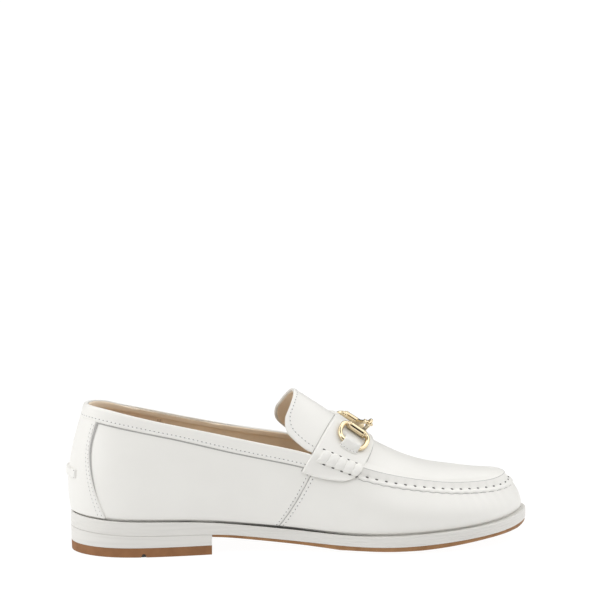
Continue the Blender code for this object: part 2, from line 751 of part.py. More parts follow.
def half_arch():
    """Length of the arch from the ridge to the end of the strap, for one unit of w."""
    w = np.linspace(0, STRAP_SEAM, 40)
    line = strap_face(0.5 * np.ones(40), w)
    return np.linalg.norm(np.diff(line, axis=0), axis=1).sum() / STRAP_SEAM


def tube(name, path, radii, closed):
    """Mesh of a wire along a path of points, in millimetres."""
    curve = bpy.data.curves.new(name, "CURVE")
    curve.dimensions = "3D"
    curve.bevel_depth = MM
    curve.bevel_resolution = 1
    curve.use_fill_caps = True
    line = curve.splines.new("POLY")
    line.points.add(len(path) - 1)
    line.use_cyclic_u = closed
    for point, place, radius in zip(line.points, path, radii):
        point.co = (*(Vector(place) * MM), 1.0)
        point.radius = radius
    wire = bpy.data.objects.new(name, curve)
    bpy.context.scene.collection.objects.link(wire)
    depsgraph = bpy.context.evaluated_depsgraph_get()
    mesh = bpy.data.meshes.new_from_object(wire.evaluated_get(depsgraph))
    bpy.data.objects.remove(wire)
    work = bmesh.new()
    work.from_mesh(mesh)
    bmesh.ops.remove_doubles(work, verts=work.verts, dist=0.01 * MM)
    bmesh.ops.recalc_face_normals(work, faces=work.faces)
    work.to_mesh(mesh)
    work.free()
    return mesh


def ring_foot(x):
    """How far the ring reaches from its barrel at x along it."""
    share = np.abs(np.asarray(x, float) / RING_HALF_LENGTH)
    return RING_SHOULDER + (RING_DEPTH - RING_SHOULDER) * (1 - share ** RING_SQUARE) ** (1 / RING_SQUARE)


def ring_path(frame):
    """Closed D: the barrel, then the ring round its foot."""
    path, radii = [], []
    for x in (-BARREL_HALF - 0.1, -BARREL_HALF, BARREL_HALF, BARREL_HALF + 0.1):
        path.append(frame @ Vector((x, 0, 0)))
        radii.append(BARREL_RADIUS if abs(x) <= BARREL_HALF else RING_WIRE)
    corner = [(RING_HALF_LENGTH - 1.3, 0.5), (RING_HALF_LENGTH - 0.2, RING_SHOULDER * 0.55)]
    turns = np.linspace(0, math.pi, 17)
    arc_x = RING_HALF_LENGTH * np.sign(np.cos(turns)) * np.abs(np.cos(turns)) ** (2 / RING_SQUARE)
    arc = corner + list(zip(arc_x, ring_foot(arc_x))) + [(-x, y) for x, y in reversed(corner)]
    for x, y in arc:
        path.append(frame @ Vector((x, y, 0)))
        radii.append(RING_WIRE)
    return path, radii


def add_bit_half(name, side, material):
    """Ring with its barrel, joined to the arm and eye that link it with the other half over the ridge."""
    frame = bit_frame(side)
    surface = GAP + STRAP_THICKNESS + EYE_LIFT
    one = np.ones(1)
    ridge = Vector(lifted(strap_face, LINK_MIDDLE * one, 0.0 * one, one * surface)[0])
    lengthwise = (frame.to_3x3() @ Vector((1, 0, 0))).normalized()
    across = Vector((0, side, 0))
    eye_centre = ridge + across * EYE_OVERLAP
    eye_up = lengthwise if side == OUTER else lengthwise.cross(across).normalized()
    turns = np.linspace(0, 2 * math.pi, 15)[:-1]
    eye = [eye_centre + (across * math.cos(turn) + eye_up * math.sin(turn)) * EYE_RADIUS for turn in turns]
    shank = eye_centre + across * EYE_RADIUS
    root = frame @ Vector((side * ARM_OFFSET, 0, 0))
    arm = [shank + (root - shank) * share for share in np.linspace(0, 1, len(ARM_RADII))]
    pieces = [
        tube(name + "_ring", *ring_path(frame), closed=True),
        tube(name + "_arm", arm, ARM_RADII, closed=False),
        tube(name + "_eye", eye, [EYE_WIRE] * len(eye), closed=True),
    ]
    shape = add_object(name, pieces[0], material)
    for piece in pieces[1:]:
        joined = bpy.data.objects.new(piece.name, piece)
        joined.hide_render = True
        joined.display_type = "WIRE"
        joined.parent = middle
        cutters.objects.link(joined)
        union = shape.modifiers.new("join", "BOOLEAN")
        union.operation = "UNION"
        union.object = joined
    return shape


def strap_height(frame, side):
    """Height of the strap's face under one half of the bit, by the place in that half's frame."""
    c, w = np.meshgrid(np.linspace(0.1, 0.9, 9), side * np.linspace(0.3, 0.72, 12))
    face = lifted(strap_face, c, w, np.full(c.shape, GAP + STRAP_THICKNESS)).reshape(-1, 3)
    local = np.array([frame.inverted() @ Vector(point) for point in face])

    def terms(x, y):
        return np.stack([np.ones_like(x), x, y, x * x, x * y, y * y, y ** 3], -1)

    fit = np.linalg.lstsq(terms(local[:, 0], local[:, 1]), local[:, 2], rcond=None)[0]
    return lambda x, y: terms(x, y) @ fit


def add_bit_loop(name, side, material):
    """Leather loop: sewn down below the foot of the ring, over it, then flat on the strap inside the ring."""
    frame = bit_frame(side)
    ground = strap_height(frame, side)
    hole, hood = RING_WIRE + GAP, RING_WIRE + GAP + LOOP_LEATHER
    turns = np.linspace(math.pi, 0, 8)
    inside = [(-hole, None, 0)] + [(hole * math.cos(turn), hole * math.sin(turn), 0) for turn in turns]
    inside += [(hole, None, 0), (hood + LOOP_TAIL, None, 0)]
    outside = [(hood + LOOP_TAIL, None, LOOP_LEATHER), (hood + 0.8, None, LOOP_LEATHER)]
    outside += [(hood * math.cos(turn), hood * math.sin(turn), 0) for turn in turns[::-1][1:]]
    outside += [(-hood, None, 0)]
    sections = []
    for x in side * LOOP_OFFSET + np.linspace(-LOOP_HALF_WIDTH, LOOP_HALF_WIDTH, 7):
        section = []
        for reach, height, above in inside + outside:
            y = float(ring_foot(x)) - reach
            z = height if height is not None else float(ground(np.array(x), np.array(y))) + GAP + above
            section.append(frame @ Vector((x, y, z)))
        sections.append(section)
    return add_loft(name, np.array(sections), material)


# Assembly

for old in list(bpy.data.objects):
    bpy.data.objects.remove(old)

parts = bpy.data.collections.new("horsebit_loafer")
cutters = bpy.data.collections.new("cutters")
bpy.context.scene.collection.children.link(parts)
bpy.context.scene.collection.children.link(cutters)

middle = bpy.data.objects.new("under_the_middle", None)
middle.location = (-BOX_MIDDLE[0] * MM, -BOX_MIDDLE[1] * MM, 0)
parts.objects.link(middle)

white_leather = make_material("white_leather", (0.86, 0.86, 0.85), 0.42)
tan_lining = make_material("tan_lining", (0.66, 0.55, 0.42), 0.6)
white_edge = make_material("white_edge", (0.82, 0.81, 0.79), 0.5)
brown_rubber = make_material("brown_rubber", (0.33, 0.2, 0.11), 0.6)
brown_sole = make_material("brown_sole", (0.45, 0.3, 0.18), 0.6)
gilt = make_material("gilt", (0.83, 0.66, 0.33), 0.2, metallic=1.0)

add_midsole(white_edge)
add_outsole(brown_sole)
add_heel_block(white_edge)
add_heel_top_lift(brown_rubber)
add_insole(tan_lining)
add_upper(white_leather)
add_tongue(white_leather)
add_collar_band(white_leather)
add_back_stay(white_leather)
add_heel_tab(white_leather)
add_apron_seam(white_leather)
add_saddle_strap(white_leather)
for side, where in ((INNER, "inner"), (OUTER, "outer")):
    add_strap_roll("strap_roll_" + where, side, white_leather)
    add_bit_half("bit_half_" + where, side, gilt)
    add_bit_loop("bit_loop_" + where, side, white_leather)
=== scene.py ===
"""Looks of a white horsebit loafer for a left foot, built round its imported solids.

Shapes are worked out in millimetres from the same tables as the solids: x from the back of the sole to the
toe, y from the inner side (negative) to the outer side of the foot, and z up from the floor.
"""

import math

import bmesh
import bpy
import numpy as np
from mathutils import Matrix, Vector


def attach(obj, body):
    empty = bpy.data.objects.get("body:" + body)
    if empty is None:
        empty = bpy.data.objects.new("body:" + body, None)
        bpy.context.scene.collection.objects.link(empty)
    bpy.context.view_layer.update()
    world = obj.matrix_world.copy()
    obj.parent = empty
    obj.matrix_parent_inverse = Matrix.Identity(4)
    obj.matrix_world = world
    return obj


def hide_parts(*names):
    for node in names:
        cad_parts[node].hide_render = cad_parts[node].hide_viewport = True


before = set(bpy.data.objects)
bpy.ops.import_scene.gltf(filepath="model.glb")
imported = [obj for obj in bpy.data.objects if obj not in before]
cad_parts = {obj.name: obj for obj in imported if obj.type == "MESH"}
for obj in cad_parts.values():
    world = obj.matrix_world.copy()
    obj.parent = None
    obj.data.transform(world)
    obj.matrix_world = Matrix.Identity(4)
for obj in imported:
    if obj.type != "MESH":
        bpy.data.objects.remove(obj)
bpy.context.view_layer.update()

# Sizes, most of them shared with the solids
MM = 0.001
GAP = 0.3
INNER, OUTER = -1, 1
WHERE = {INNER: "inner", OUTER: "outer"}
SOLE_LENGTH = 292.0
ORIGIN = np.array([144.55, 0.29, 0.0])
INSIDE = np.array([150.0, 0.0, 20.0])
UPPER_WALL = 2.2
INSOLE_THICKNESS = 2.5
INSOLE_CLEARANCE = 0.6
INSOLE_LIP = 0.9
TIP_WIDTH = 0.5
HEEL_BREAST = 85.8
TOP_LIFT = 5.9
HEEL_TAPER = 0.3
GROOVE_X = 43.0
GROOVE_HALF_WIDTH = 1.6
GROOVE_DEPTH = 2.2
TREAD_CROWN = 2.7
TREAD_FLAT = 0.72
FULL_CROWN_WIDTH = 40.0
CROWN_START = 168.0
OUTSOLE_INSET = 0.4
SIDE_SWELL_SKEW = 0.8
APRON_CROWN = 2.3
TONGUE_END = 130.8
TONGUE_ROOT = 150.0
TONGUE_LENGTH = 36.0
TONGUE_HALF_WIDTH = 30.0
TONGUE_RISE = 8.0
TONGUE_RISE_POWER = 1.2
TONGUE_NARROWING = 4.5
TONGUE_SWEEP = 3.0
COLLAR_BAND_HEIGHT = 9.0
COLLAR_BAND_END = 147.7
COLLAR_RUN_UNDER = 5.0
COLLAR_HEEL_RISE = 1.1
COLLAR_FOLD_BELOW, COLLAR_FOLD_OUT = 0.6, 1.35
COLLAR_CREST, COLLAR_CREST_FALL = 1.6, 0.8
COLLAR_STITCH_INSET, COLLAR_STITCH_HEIGHT = 2.0, 1.15
STAY_HALF_WIDTH = 26.0
STAY_REACH = 0.4
STAY_HEIGHT, STAY_ROOT, STAY_EDGE_RADIUS = 1.15, 0.4, 0.7
STAY_STITCH_INSETS = (1.1, 2.9)
TAB_MIDDLE_HEIGHT = 0.385
TAB_HALF_WIDTH = 13.5
TAB_HALF_HEIGHT = 2.7
TAB_BASE, TAB_HEIGHT, TAB_BOW, TAB_EDGE_RADIUS = 1.2, 1.1, 0.5, 0.9
TAB_STITCH_HEIGHT = 2.45
STRAP_MIDDLE = 166.0
STRAP_REAR, STRAP_FRONT = 152.5, 178.5
STRAP_THICKNESS = 1.6
STRAP_TOP = GAP + STRAP_THICKNESS
STRAP_SEAM = 0.74
STRAP_SWEEP = 0.155
STRAP_HALF_LENGTH = 45.0
STRAP_EDGE_RADIUS = 0.75
STRAP_CURL = 0.35
STRAP_CROSSING_LIFT = 1.1
ROLL_FOLDS = 5
ROLL_HALF_WIDTH = 3.7
ROLL_SPAN = (0.02, 1.0)
ROLL_HEIGHT, ROLL_PUFF, ROLL_ROOT = 1.9, 0.8, 0.6
RING_WIRE = 1.55
RING_HALF_LENGTH = 9.6
RING_DEPTH = 15.0
RING_SHOULDER = 5.0
RING_SQUARE = 2.8
RING_FOOT_LIFT = 2.0
BARREL_HALF = 6.0
BARREL_SHOWN = 1.08
BARREL_FROM_RIDGE = 19.0
BARREL_LIFT = {INNER: 2.65, OUTER: 4.6}
BIT_MIDDLE = 0.495
BIT_SKEW = 0.055
BIT_BASE = 0.3
EYE_RADIUS = 2.6
EYE_WIRE = 1.05
EYE_OVERLAP = 1.5
EYE_LIFT = 5.6
LINK_MIDDLE = 0.74
ARM_OFFSET = 3.5
LOOP_HALF_WIDTH = 5.8
LOOP_OFFSET = 1.0
LOOP_EDGE_RADIUS = 0.6
LOOP_STITCH_HEIGHT = 1.2

# Relief of the upper
PANEL_THICKNESS = 1.1
LINING_FACE, LINING_BACK = -UPPER_WALL - 0.1, -PANEL_THICKNESS - 0.15
GRIP_FACE = -UPPER_WALL - 0.5
TUCK_DEPTH, TUCK_REACH = 1.0, 0.9
SEAM_SINK = 1.7
SEAM_EASE = 4.0
SINK_BAND, APRON_SINK_BAND = (0.5, 2.9), (1.0, 6.0)
GROOVE_EDGE_DEPTH, GROOVE_EDGE_REACH = 0.6, 0.4
GATHER_HEIGHT, GATHER_REACH = 0.4, 8.5
GATHER_X = (222.0, 252.0)
UNEVEN_HEIGHT = 0.06
APRON_UNEVEN_HEIGHT = 0.05

# Apron seam and stitches; a stitch or hole has a half-length, half-width and half-height
SEAM_START = 177.0
SEAM_PITCH = 6.34
SEAM_PHASE = 0.1
SEAM_ROOT = -1.6
SEAM_RIDGE, SEAM_VALLEY, SEAM_LIP = 5, 11, 17
STITCH_PITCH = 2.75
STAY_PITCH = 2.6
LOOP_PITCH = 2.2
TAB_PITCH, TAB_END_PITCH = 2.2, 1.5
FLAT_STITCH_HEIGHT = 0.02
SIDE_STITCH_OFFSETS = (-0.0046, 0.0046)
LINING_STITCH_OFFSETS = (-0.009, -0.004)
STITCH_SIZE = (1.05, 0.3, 0.22)
LINING_STITCH_SIZE = (0.95, 0.28, 0.25)
HOLE_SIZE = (0.58, 0.25, 0.14)
STAY_HOLE_SIZE = (0.75, 0.25, 0.14)
SEAM_HOLE_SIZE = (0.95, 0.5, 0.4)

# Camera: the point it is set by, that point's pixel row, distance, angles and scale
AIM = np.array([146.0, 0.0, 45.0])
AIM_ROW = 470.580
IMAGE = 600
CAMERA_DISTANCE = 1600.0
AZIMUTH, ELEVATION = -8.5, 12.2
FOCAL_PIXELS = 1.56354 * CAMERA_DISTANCE
SENSOR = 36.0
FLOOR_HALF = 25.0
FLOOR_DROP = 0.0003


class Table:
    """Rows of numbers under named columns. The first column is the one that the others are read by."""

    def __init__(self, names, *rows):
        self.rows = rows
        self.names = names.split()
        for name, values in zip(self.names, zip(*rows)):
            setattr(self, name, np.array(values, float))

    def read(self, name, at):
        """Smooth curve through a column, read at each number in at."""
        return spline(getattr(self, self.names[0]), getattr(self, name), at)


SOLE_PLAN = Table(
    "x inner outer ledge",
    (0.0, 0.0, 0.0, 1.6), (8.0, 19.0, 19.0, 1.6), (24.0, 29.3, 29.3, 1.7), (50.0, 33.0, 33.0, 1.8),
    (80.0, 31.8, 33.6, 1.8), (110.0, 30.2, 35.6, 1.7), (140.0, 33.6, 40.3, 2.0), (170.0, 42.0, 46.6, 2.8),
    (198.0, 49.2, 51.0, 3.3), (218.0, 50.6, 50.4, 3.4), (242.0, 47.4, 45.6, 3.5), (264.0, 39.6, 36.2, 3.5),
    (281.0, 27.0, 20.6, 3.5), (SOLE_LENGTH, 4.5, -4.5, 3.5))

SOLE_PROFILE = Table(
    "x top welt tread",
    (0.0, 24.5, 15.3, 14.3), (25.0, 22.8, 14.0, 13.0), (50.0, 22.0, 13.3, 12.2), (75.0, 21.0, 12.9, 11.7),
    (92.0, 19.5, 12.3, 10.7), (112.0, 17.1, 10.1, 8.3), (142.0, 13.8, 6.9, 4.9), (170.0, 11.4, 4.8, 2.4),
    (196.0, 11.4, 4.5, 1.8), (216.0, 12.3, 5.4, 2.7), (240.0, 13.6, 7.0, 4.7), (262.0, 15.3, 8.8, 7.1),
    (280.0, 17.4, 10.7, 9.2), (SOLE_LENGTH, 19.3, 12.7, 11.3))

TOP_EDGE = Table(
    "x inner outer inner_height outer_height lead",
    (10.0, 0.0, 0.0, 91.8, 91.8, 0.0), (18.0, 15.0, 15.0, 91.2, 91.0, 0.0),
    (42.0, 24.2, 24.2, 86.4, 85.4, 0.0), (86.0, 28.2, 28.6, 76.8, 74.8, 2.0),
    (124.0, 31.6, 32.2, 68.3, 66.8, 9.0), (150.0, 34.5, 35.5, 61.8, 60.9, 16.0),
    (178.0, 37.0, 38.5, 50.6, 50.2, 13.5), (205.0, 37.5, 38.5, 43.7, 43.5, 10.0),
    (238.0, 34.4, 34.0, 37.9, 37.9, 6.0), (260.0, 27.6, 25.6, 36.5, 36.5, 3.0),
    (274.0, 19.0, 15.0, 37.0, 37.0, 1.0), (281.5, 2.5, -2.5, 38.0, 38.0, 0.0))

RIDGE = Table(
    "x height",
    (140.0, 99.8), (159.0, 87.2), (181.0, 71.8), (198.0, 60.9), (214.0, 53.0), (230.0, 47.7), (248.0, 44.9),
    (266.0, 43.0), (276.0, 41.2), (281.5, 38.0))

SIDE_SWELL = Table(
    "x swell",
    (0.0, 4.8), (30.0, 5.2), (90.0, 5.4), (150.0, 5.2), (200.0, 6.4), (250.0, 5.3), (SOLE_LENGTH, 2.2))

# Lines on the wall: edge of the back stay, seam between quarters and vamp, and end of the heel grip
STAY_EDGE = Table("level x", (0.0, 20.6), (0.2, 15.4), (0.45, 11.6), (0.68, 12.0), (0.86, 15.4))
SIDE_SEAM = Table("level x", (0.0, 127.8), (0.35, 137.6), (0.68, 145.9), (1.0, 153.6))
LINING_SEAM = Table("level x", (0.0, 66.0), (0.5, 63.0), (1.0, 60.0))

# Ends of the saddle strap from its rear edge (c = 0) to its front edge: how far they lean back and hang down
STRAP_END = Table(
    "c back drop",
    (0.0, 10.6, 12.5), (0.15, 9.8, 12.9), (0.3, 8.4, 12.8), (0.6, 6.0, 10.8), (0.85, 4.1, 7.3),
    (1.0, 2.4, 2.9))

# Half-width of the tongue as a share of the instep's, by the root of the share of its length from its end
TONGUE_PLAN = Table(
    "root half",
    (0.0, 0.775), (0.075, 0.81), (0.167, 0.866), (0.258, 0.913), (0.354, 0.947), (0.462, 0.967),
    (0.568, 0.983), (0.658, 0.988), (0.74, 0.975), (1.0, 0.88))

# Outside of the collar band: share of its height below the top edge, and height above the wall
COLLAR_SECTION = Table(
    "share height",
    (1.0, 0.0), (0.995, 0.55), (0.972, 0.95), (0.933, 1.15), (0.878, 1.2), (0.778, 1.15), (0.644, 1.2),
    (0.5, 1.35), (0.356, 1.45), (0.222, 1.45), (0.111, 1.4))

# Collar's facing inside the shoe: distance below the top edge, and depth past the wall
FACING_SECTION = Table("below depth", (1.6, 0.62), (2.6, 0.75), (3.4, 0.7), (3.8, 0.2), (3.8, -0.4))

# Section of the raised seam: distance from the stitch line (negative on the apron), height above the upper,
# how much the stitches draw it sideways and how much they draw it down
SEAM_SECTION = Table(
    "distance height sway pull",
    (-9.0, -0.1, 0.0, 0.0), (-7.6, 0.2, 0.0, 0.0), (-6.2, 0.62, 0.0, 0.0), (-5.0, 1.0, 0.0, 0.05),
    (-4.2, 1.25, 0.0, 0.08), (-3.7, 1.32, 0.0, 0.1), (-3.4, 1.22, 0.0, 0.12), (-3.1, 0.98, 0.0, 0.14),
    (-2.3, 0.42, 0.0, 0.2), (-1.4, -0.1, 0.0, 0.3), (-0.6, -0.45, 0.0, 0.4), (0.0, -0.55, 0.0, 0.45),
    (0.5, -0.3, 0.0, 0.4), (0.9, 0.2, 0.1, 0.3), (1.35, 0.7, 0.15, 0.2), (1.85, 0.9, 0.25, 0.15),
    (2.35, 0.85, 0.3, 0.15), (2.7, 0.6, 0.35, 0.1), (2.85, 0.25, 0.4, 0.05), (2.9, -0.9, 0.4, 0.0))

# How far the stitch line runs below (positive) or above the edge of the apron
SEAM_DRIFT = Table(
    "x drift",
    (177.0, 1.2), (190.0, 0.95), (207.0, 0.8), (222.0, 0.35), (240.0, -0.15), (258.0, -0.25), (268.0, 0.1),
    (281.5, 0.0))

# Painted shadow line in the crevice between upper and sole, heaviest along the waist
WELT_SHADE = Table(
    "x size",
    (0.0, 0.25), (60.0, 0.42), (70.0, 0.48), (79.0, 0.3), (104.0, 0.6), (117.0, 0.75), (129.0, 1.0),
    (142.0, 0.8), (155.0, 0.55), (168.0, 0.35), (181.0, 0.15), (190.0, 0.05))

# Half of the bit's barrel with its collar, the corner of the ring beside it, and the arm to the other half
BARREL = Table(
    "x radius",
    (-7.4, 0.3), (-7.3, 1.5), (-6.9, 1.9), (-6.2, 2.0), (-6.0, 2.35), (-5.7, 2.45), (-5.2, 2.45), (-5.0, 2.3),
    (-4.9, 2.12), (-4.7, 2.12), (-4.6, 2.3))
RING_CORNER = Table(
    "x y",
    (BARREL_HALF + 0.4, 0.0), (BARREL_HALF + 1.7, 0.25), (RING_HALF_LENGTH - 1.0, 1.1),
    (RING_HALF_LENGTH - 0.3, 2.6))
ARM = Table(
    "share radius",
    (0.0, 0.9), (0.12, 1.0), (0.2, 1.45), (0.3, 1.25), (0.7, 1.5), (0.85, 1.9), (1.0, 2.0))

# Section of the leather loop: distance from the barrel and height above the strap
LOOP_SECTION = Table(
    "reach height",
    (7.4, 0.0), (7.45, 0.7), (7.7, 1.1), (8.6, 1.3), (10.2, 1.6), (11.6, 2.7), (12.9, 4.1), (14.2, 4.8),
    (15.4, 4.8), (16.6, 4.0), (17.5, 2.6), (18.1, 1.5), (18.8, 1.15), (19.3, 0.95), (19.45, 0.5),
    (19.45, 0.0))
LOOP_SEAM = 18.7

# Section of the midsole's edge with three faint grooves: inset, share of its height, and rise from there
MIDSOLE_SECTION = Table(
    "inset share rise",
    (7.0, 1.0, 0.0), (1.2, 1.0, 0.0), (0.55, 1.0, -0.05), (0.2, 1.0, -0.3), (0.05, 1.0, -0.75),
    (0.0, 0.75, 0.0), (0.07, 0.72, 0.0), (0.0, 0.69, 0.0), (0.0, 0.48, 0.0), (0.07, 0.45, 0.0),
    (0.0, 0.42, 0.0), (0.0, 0.23, 0.0), (0.07, 0.2, 0.0), (0.0, 0.17, 0.0),
    (0.05, 0.03, 0.0), (0.2, 0.0, 0.02), (7.0, 0.0, 0.02))


# Curves and surfaces


def spline(keys, values, at):
    """Natural cubic curve through the points (keys, values), read at each number in at."""
    count = len(keys)
    step = np.diff(keys)
    slope = np.diff(values) / step
    system = np.eye(count)
    right = np.zeros(count)
    for i in range(1, count - 1):
        system[i, i - 1:i + 2] = step[i - 1], 2 * (step[i - 1] + step[i]), step[i]
        right[i] = 6 * (slope[i] - slope[i - 1])
    bend = np.linalg.solve(system, right)
    at = np.asarray(at, float)
    inside = np.clip(at, keys[0], keys[-1])
    i = np.clip(np.searchsorted(keys, inside, side="right") - 1, 0, count - 2)
    run = inside - keys[i]
    start = slope[i] - step[i] * (2 * bend[i] + bend[i + 1]) / 6
    change = (bend[i + 1] - bend[i]) / step[i]
    value = values[i] + run * (start + run * (bend[i] / 2 + run * change / 6))
    end_slope = start + run * (bend[i] + run * change / 2)
    return value + (at - inside) * end_slope


def smooth(low, high, value):
    """0 below low, 1 above high and a soft step between."""
    share = np.clip((np.asarray(value, float) - low) / (high - low), 0, 1)
    return share * share * (3 - 2 * share)


def rounded(inset, radius):
    """Height, from 0 to 1, of a rounded edge at a distance in from it."""
    return np.sqrt(1 - (1 - np.clip(inset / radius, 0, 1)) ** 2)


def unit(vectors):
    """Vectors of length 1 in the same directions."""
    return vectors / np.maximum(np.linalg.norm(vectors, axis=-1, keepdims=True), 1e-12)


def run_length(line):
    """Length along a line of points, at each of them."""
    return np.concatenate([[0], np.cumsum(np.linalg.norm(np.diff(line, axis=0), axis=1))])


def together(u, v):
    """Two numbers or arrays as arrays of one shape."""
    return np.broadcast_arrays(np.asarray(u, float), np.asarray(v, float))


def grid(u, v):
    """All pairs of the numbers in u and v."""
    return np.meshgrid(u, v, indexing="ij")


def mirrored(near, middle):
    """Shares from -1 to 1: near gives the distances from both ends, and middle those between."""
    near = np.asarray(near, float)
    return np.concatenate([-1 + near, middle, 1 - near[::-1]])


def edge_x(rows, t):
    """Distance from the heel of a plan table's edge at t, slow at both ends to round heel and toe."""
    return rows.x[0] + (rows.x[-1] - rows.x[0]) * (1 - np.cos(np.pi * np.asarray(t, float))) / 2


def edge_t(rows, x):
    """The t at which a plan table's edge is at x."""
    share = (np.asarray(x, float) - rows.x[0]) / (rows.x[-1] - rows.x[0])
    return np.arccos(np.clip(1 - 2 * share, -1, 1)) / np.pi


def top_t(x):
    """The t at which the top edge is at one x."""
    return float(edge_t(TOP_EDGE, x))


def along(rows, name, t):
    """A column of a plan table, read at t from the heel (0) to the toe (1)."""
    return spline(edge_t(rows, rows.x), getattr(rows, name), t)


def plan_edge(rows, a):
    """Plan point of an edge at a: 0 at the back, -1 at the toe by the inner side, 1 by the outer."""
    t = np.abs(a)
    width = np.where(a < 0, -along(rows, "inner", t), along(rows, "outer", t))
    return np.stack([edge_x(rows, t), width], -1)


def plan_outward(rows, a):
    """Unit plan direction out of the shoe at a."""
    small = 1e-4
    run = plan_edge(rows, a + small) - plan_edge(rows, a - small)
    return unit(np.stack([-run[..., 1], run[..., 0]], -1))


def sole_edge(a, inset=0.0):
    """Plan point on the sole's edge, set in by inset."""
    return plan_edge(SOLE_PLAN, a) - plan_outward(SOLE_PLAN, a) * np.reshape(inset, (-1, 1))


def feather(a, inset=0.0):
    """Foot of the upper on the sole, set in by inset."""
    plan = sole_edge(a, along(SOLE_PLAN, "ledge", np.abs(a)) + inset)
    return np.column_stack([plan, SOLE_PROFILE.read("top", plan[:, 0]) + GAP])


def top_edge(a):
    """Collar or apron seam at a."""
    t = np.abs(a)
    height = np.where(a < 0, along(TOP_EDGE, "inner_height", t), along(TOP_EDGE, "outer_height", t))
    return np.column_stack([plan_edge(TOP_EDGE, a), height])


def wall_height(a):
    """Height of the upper's wall from the sole to its top edge."""
    flat = np.ravel(a)
    return (top_edge(flat)[:, 2] - feather(flat)[:, 2]).reshape(np.shape(a))


def side_wall(a, level):
    """Outer face of the upper's wall: level 0 at the sole, 1 at the top edge."""
    a, level = together(a, level)
    flat = a.ravel()
    foot, top = feather(flat), top_edge(flat)
    rise = level.reshape(-1, 1)
    out = unit(plan_outward(SOLE_PLAN, flat) + plan_outward(TOP_EDGE, flat))
    swell = SIDE_SWELL.read("swell", foot[:, 0]).reshape(-1, 1)
    point = foot + (top - foot) * rise
    point[:, :2] += out * swell * np.sin(np.pi * np.clip(rise, 0, 1) ** SIDE_SWELL_SKEW)
    return point.reshape(a.shape + (3,))


def instep(x, q):
    """Arch over the foot from the inner top edge (q = -1) by the ridge (0) to the outer (1)."""
    x, q = together(x, q)
    t = edge_t(TOP_EDGE, x.ravel())
    across = q.reshape(-1, 1)
    inner, outer = top_edge(-t), top_edge(t)
    middle = (inner + outer) / 2
    ridge_x = middle[:, 0] + along(TOP_EDGE, "lead", t)
    ridge = np.column_stack([ridge_x, middle[:, 1], RIDGE.read("height", ridge_x)])
    edge = np.where(across < 0, inner, outer)
    point = edge + (ridge - edge) * (1 - np.abs(across) ** APRON_CROWN)
    point[:, 1] = (middle + (edge - middle) * np.abs(across))[:, 1]
    return point.reshape(x.shape + (3,))


def apron_at(plan):
    """Point of the instep above each plan point."""
    x, q = plan[:, 0].copy(), np.zeros(len(plan))
    for _ in range(14):
        t = edge_t(TOP_EDGE, x)
        inner, outer = top_edge(-t)[:, 1], top_edge(t)[:, 1]
        middle, half = (inner + outer) / 2, np.maximum((outer - inner) / 2, 0.05)
        q = np.clip((plan[:, 1] - middle) / half, -1, 1)
        x = plan[:, 0] - along(TOP_EDGE, "lead", t) * (1 - np.abs(q) ** APRON_CROWN)
    point = instep(x, q)
    point[:, :2] = plan
    return point


def tongue_face(x, q):
    """The instep with its sides lifted, drawn in and swept back behind the strap, for the free tongue."""
    x, q = together(x, q)
    point = instep(x, q)
    free = np.clip((TONGUE_ROOT - x) / (TONGUE_ROOT - TONGUE_END), 0, None) ** TONGUE_RISE_POWER
    point[..., 2] += free * TONGUE_RISE * np.abs(q) ** APRON_CROWN
    point[..., 1] -= free * TONGUE_NARROWING * q
    point[..., 0] -= free * TONGUE_SWEEP * q ** 2
    return point


def strap_face(c, w):
    """Ground under the saddle strap: c from rear to front edge, w from inner to outer end."""
    c, w = together(c, w)
    seam_x = STRAP_REAR + (STRAP_FRONT - STRAP_REAR) * c
    arch = instep(seam_x, np.clip(w / STRAP_SEAM, -1, 1))
    end = np.clip((np.abs(w) - STRAP_SEAM) / (1 - STRAP_SEAM), 0, None)
    a = np.sign(w) * edge_t(TOP_EDGE, seam_x - end * STRAP_END.read("back", c))
    wall = side_wall(a, level_below_top(a, end * STRAP_END.read("drop", c)))
    return np.where((end > 0)[..., None], wall, arch)


def outward(normal, point):
    """Unit normals of a surface, turned out of the shoe."""
    normal = unit(normal)
    return normal * np.sign(np.sum(normal * (point - INSIDE), -1, keepdims=True))


def on_face(face, u, v):
    """Points of a surface face(u, v) and the directions out of the shoe there."""
    small = 1e-3
    run = face(u + small, v) - face(u - small, v)
    climb = face(u, v + small) - face(u, v - small)
    point = face(u, v)
    return point, outward(np.cross(run, climb), point)


def lifted(face, u, v, height):
    """Points of a surface face(u, v), raised along its outward direction."""
    u, v = together(u, v)
    point, normal = on_face(face, u, v)
    return point + normal * np.broadcast_to(height, u.shape)[..., None]


def reach(rows, level, furthest=0.8):
    """The a at which the wall meets a line of a table of levels, at each level."""
    t = np.linspace(0, furthest, 401)
    target = rows.read("x", level)
    return np.array([np.interp(goal, side_wall(t, one)[:, 0], t) for goal, one in zip(target, level)])


def level_below_top(a, distance):
    """Level on the wall that lies a distance below the top edge."""
    return 1 - distance / wall_height(a)


# Materials


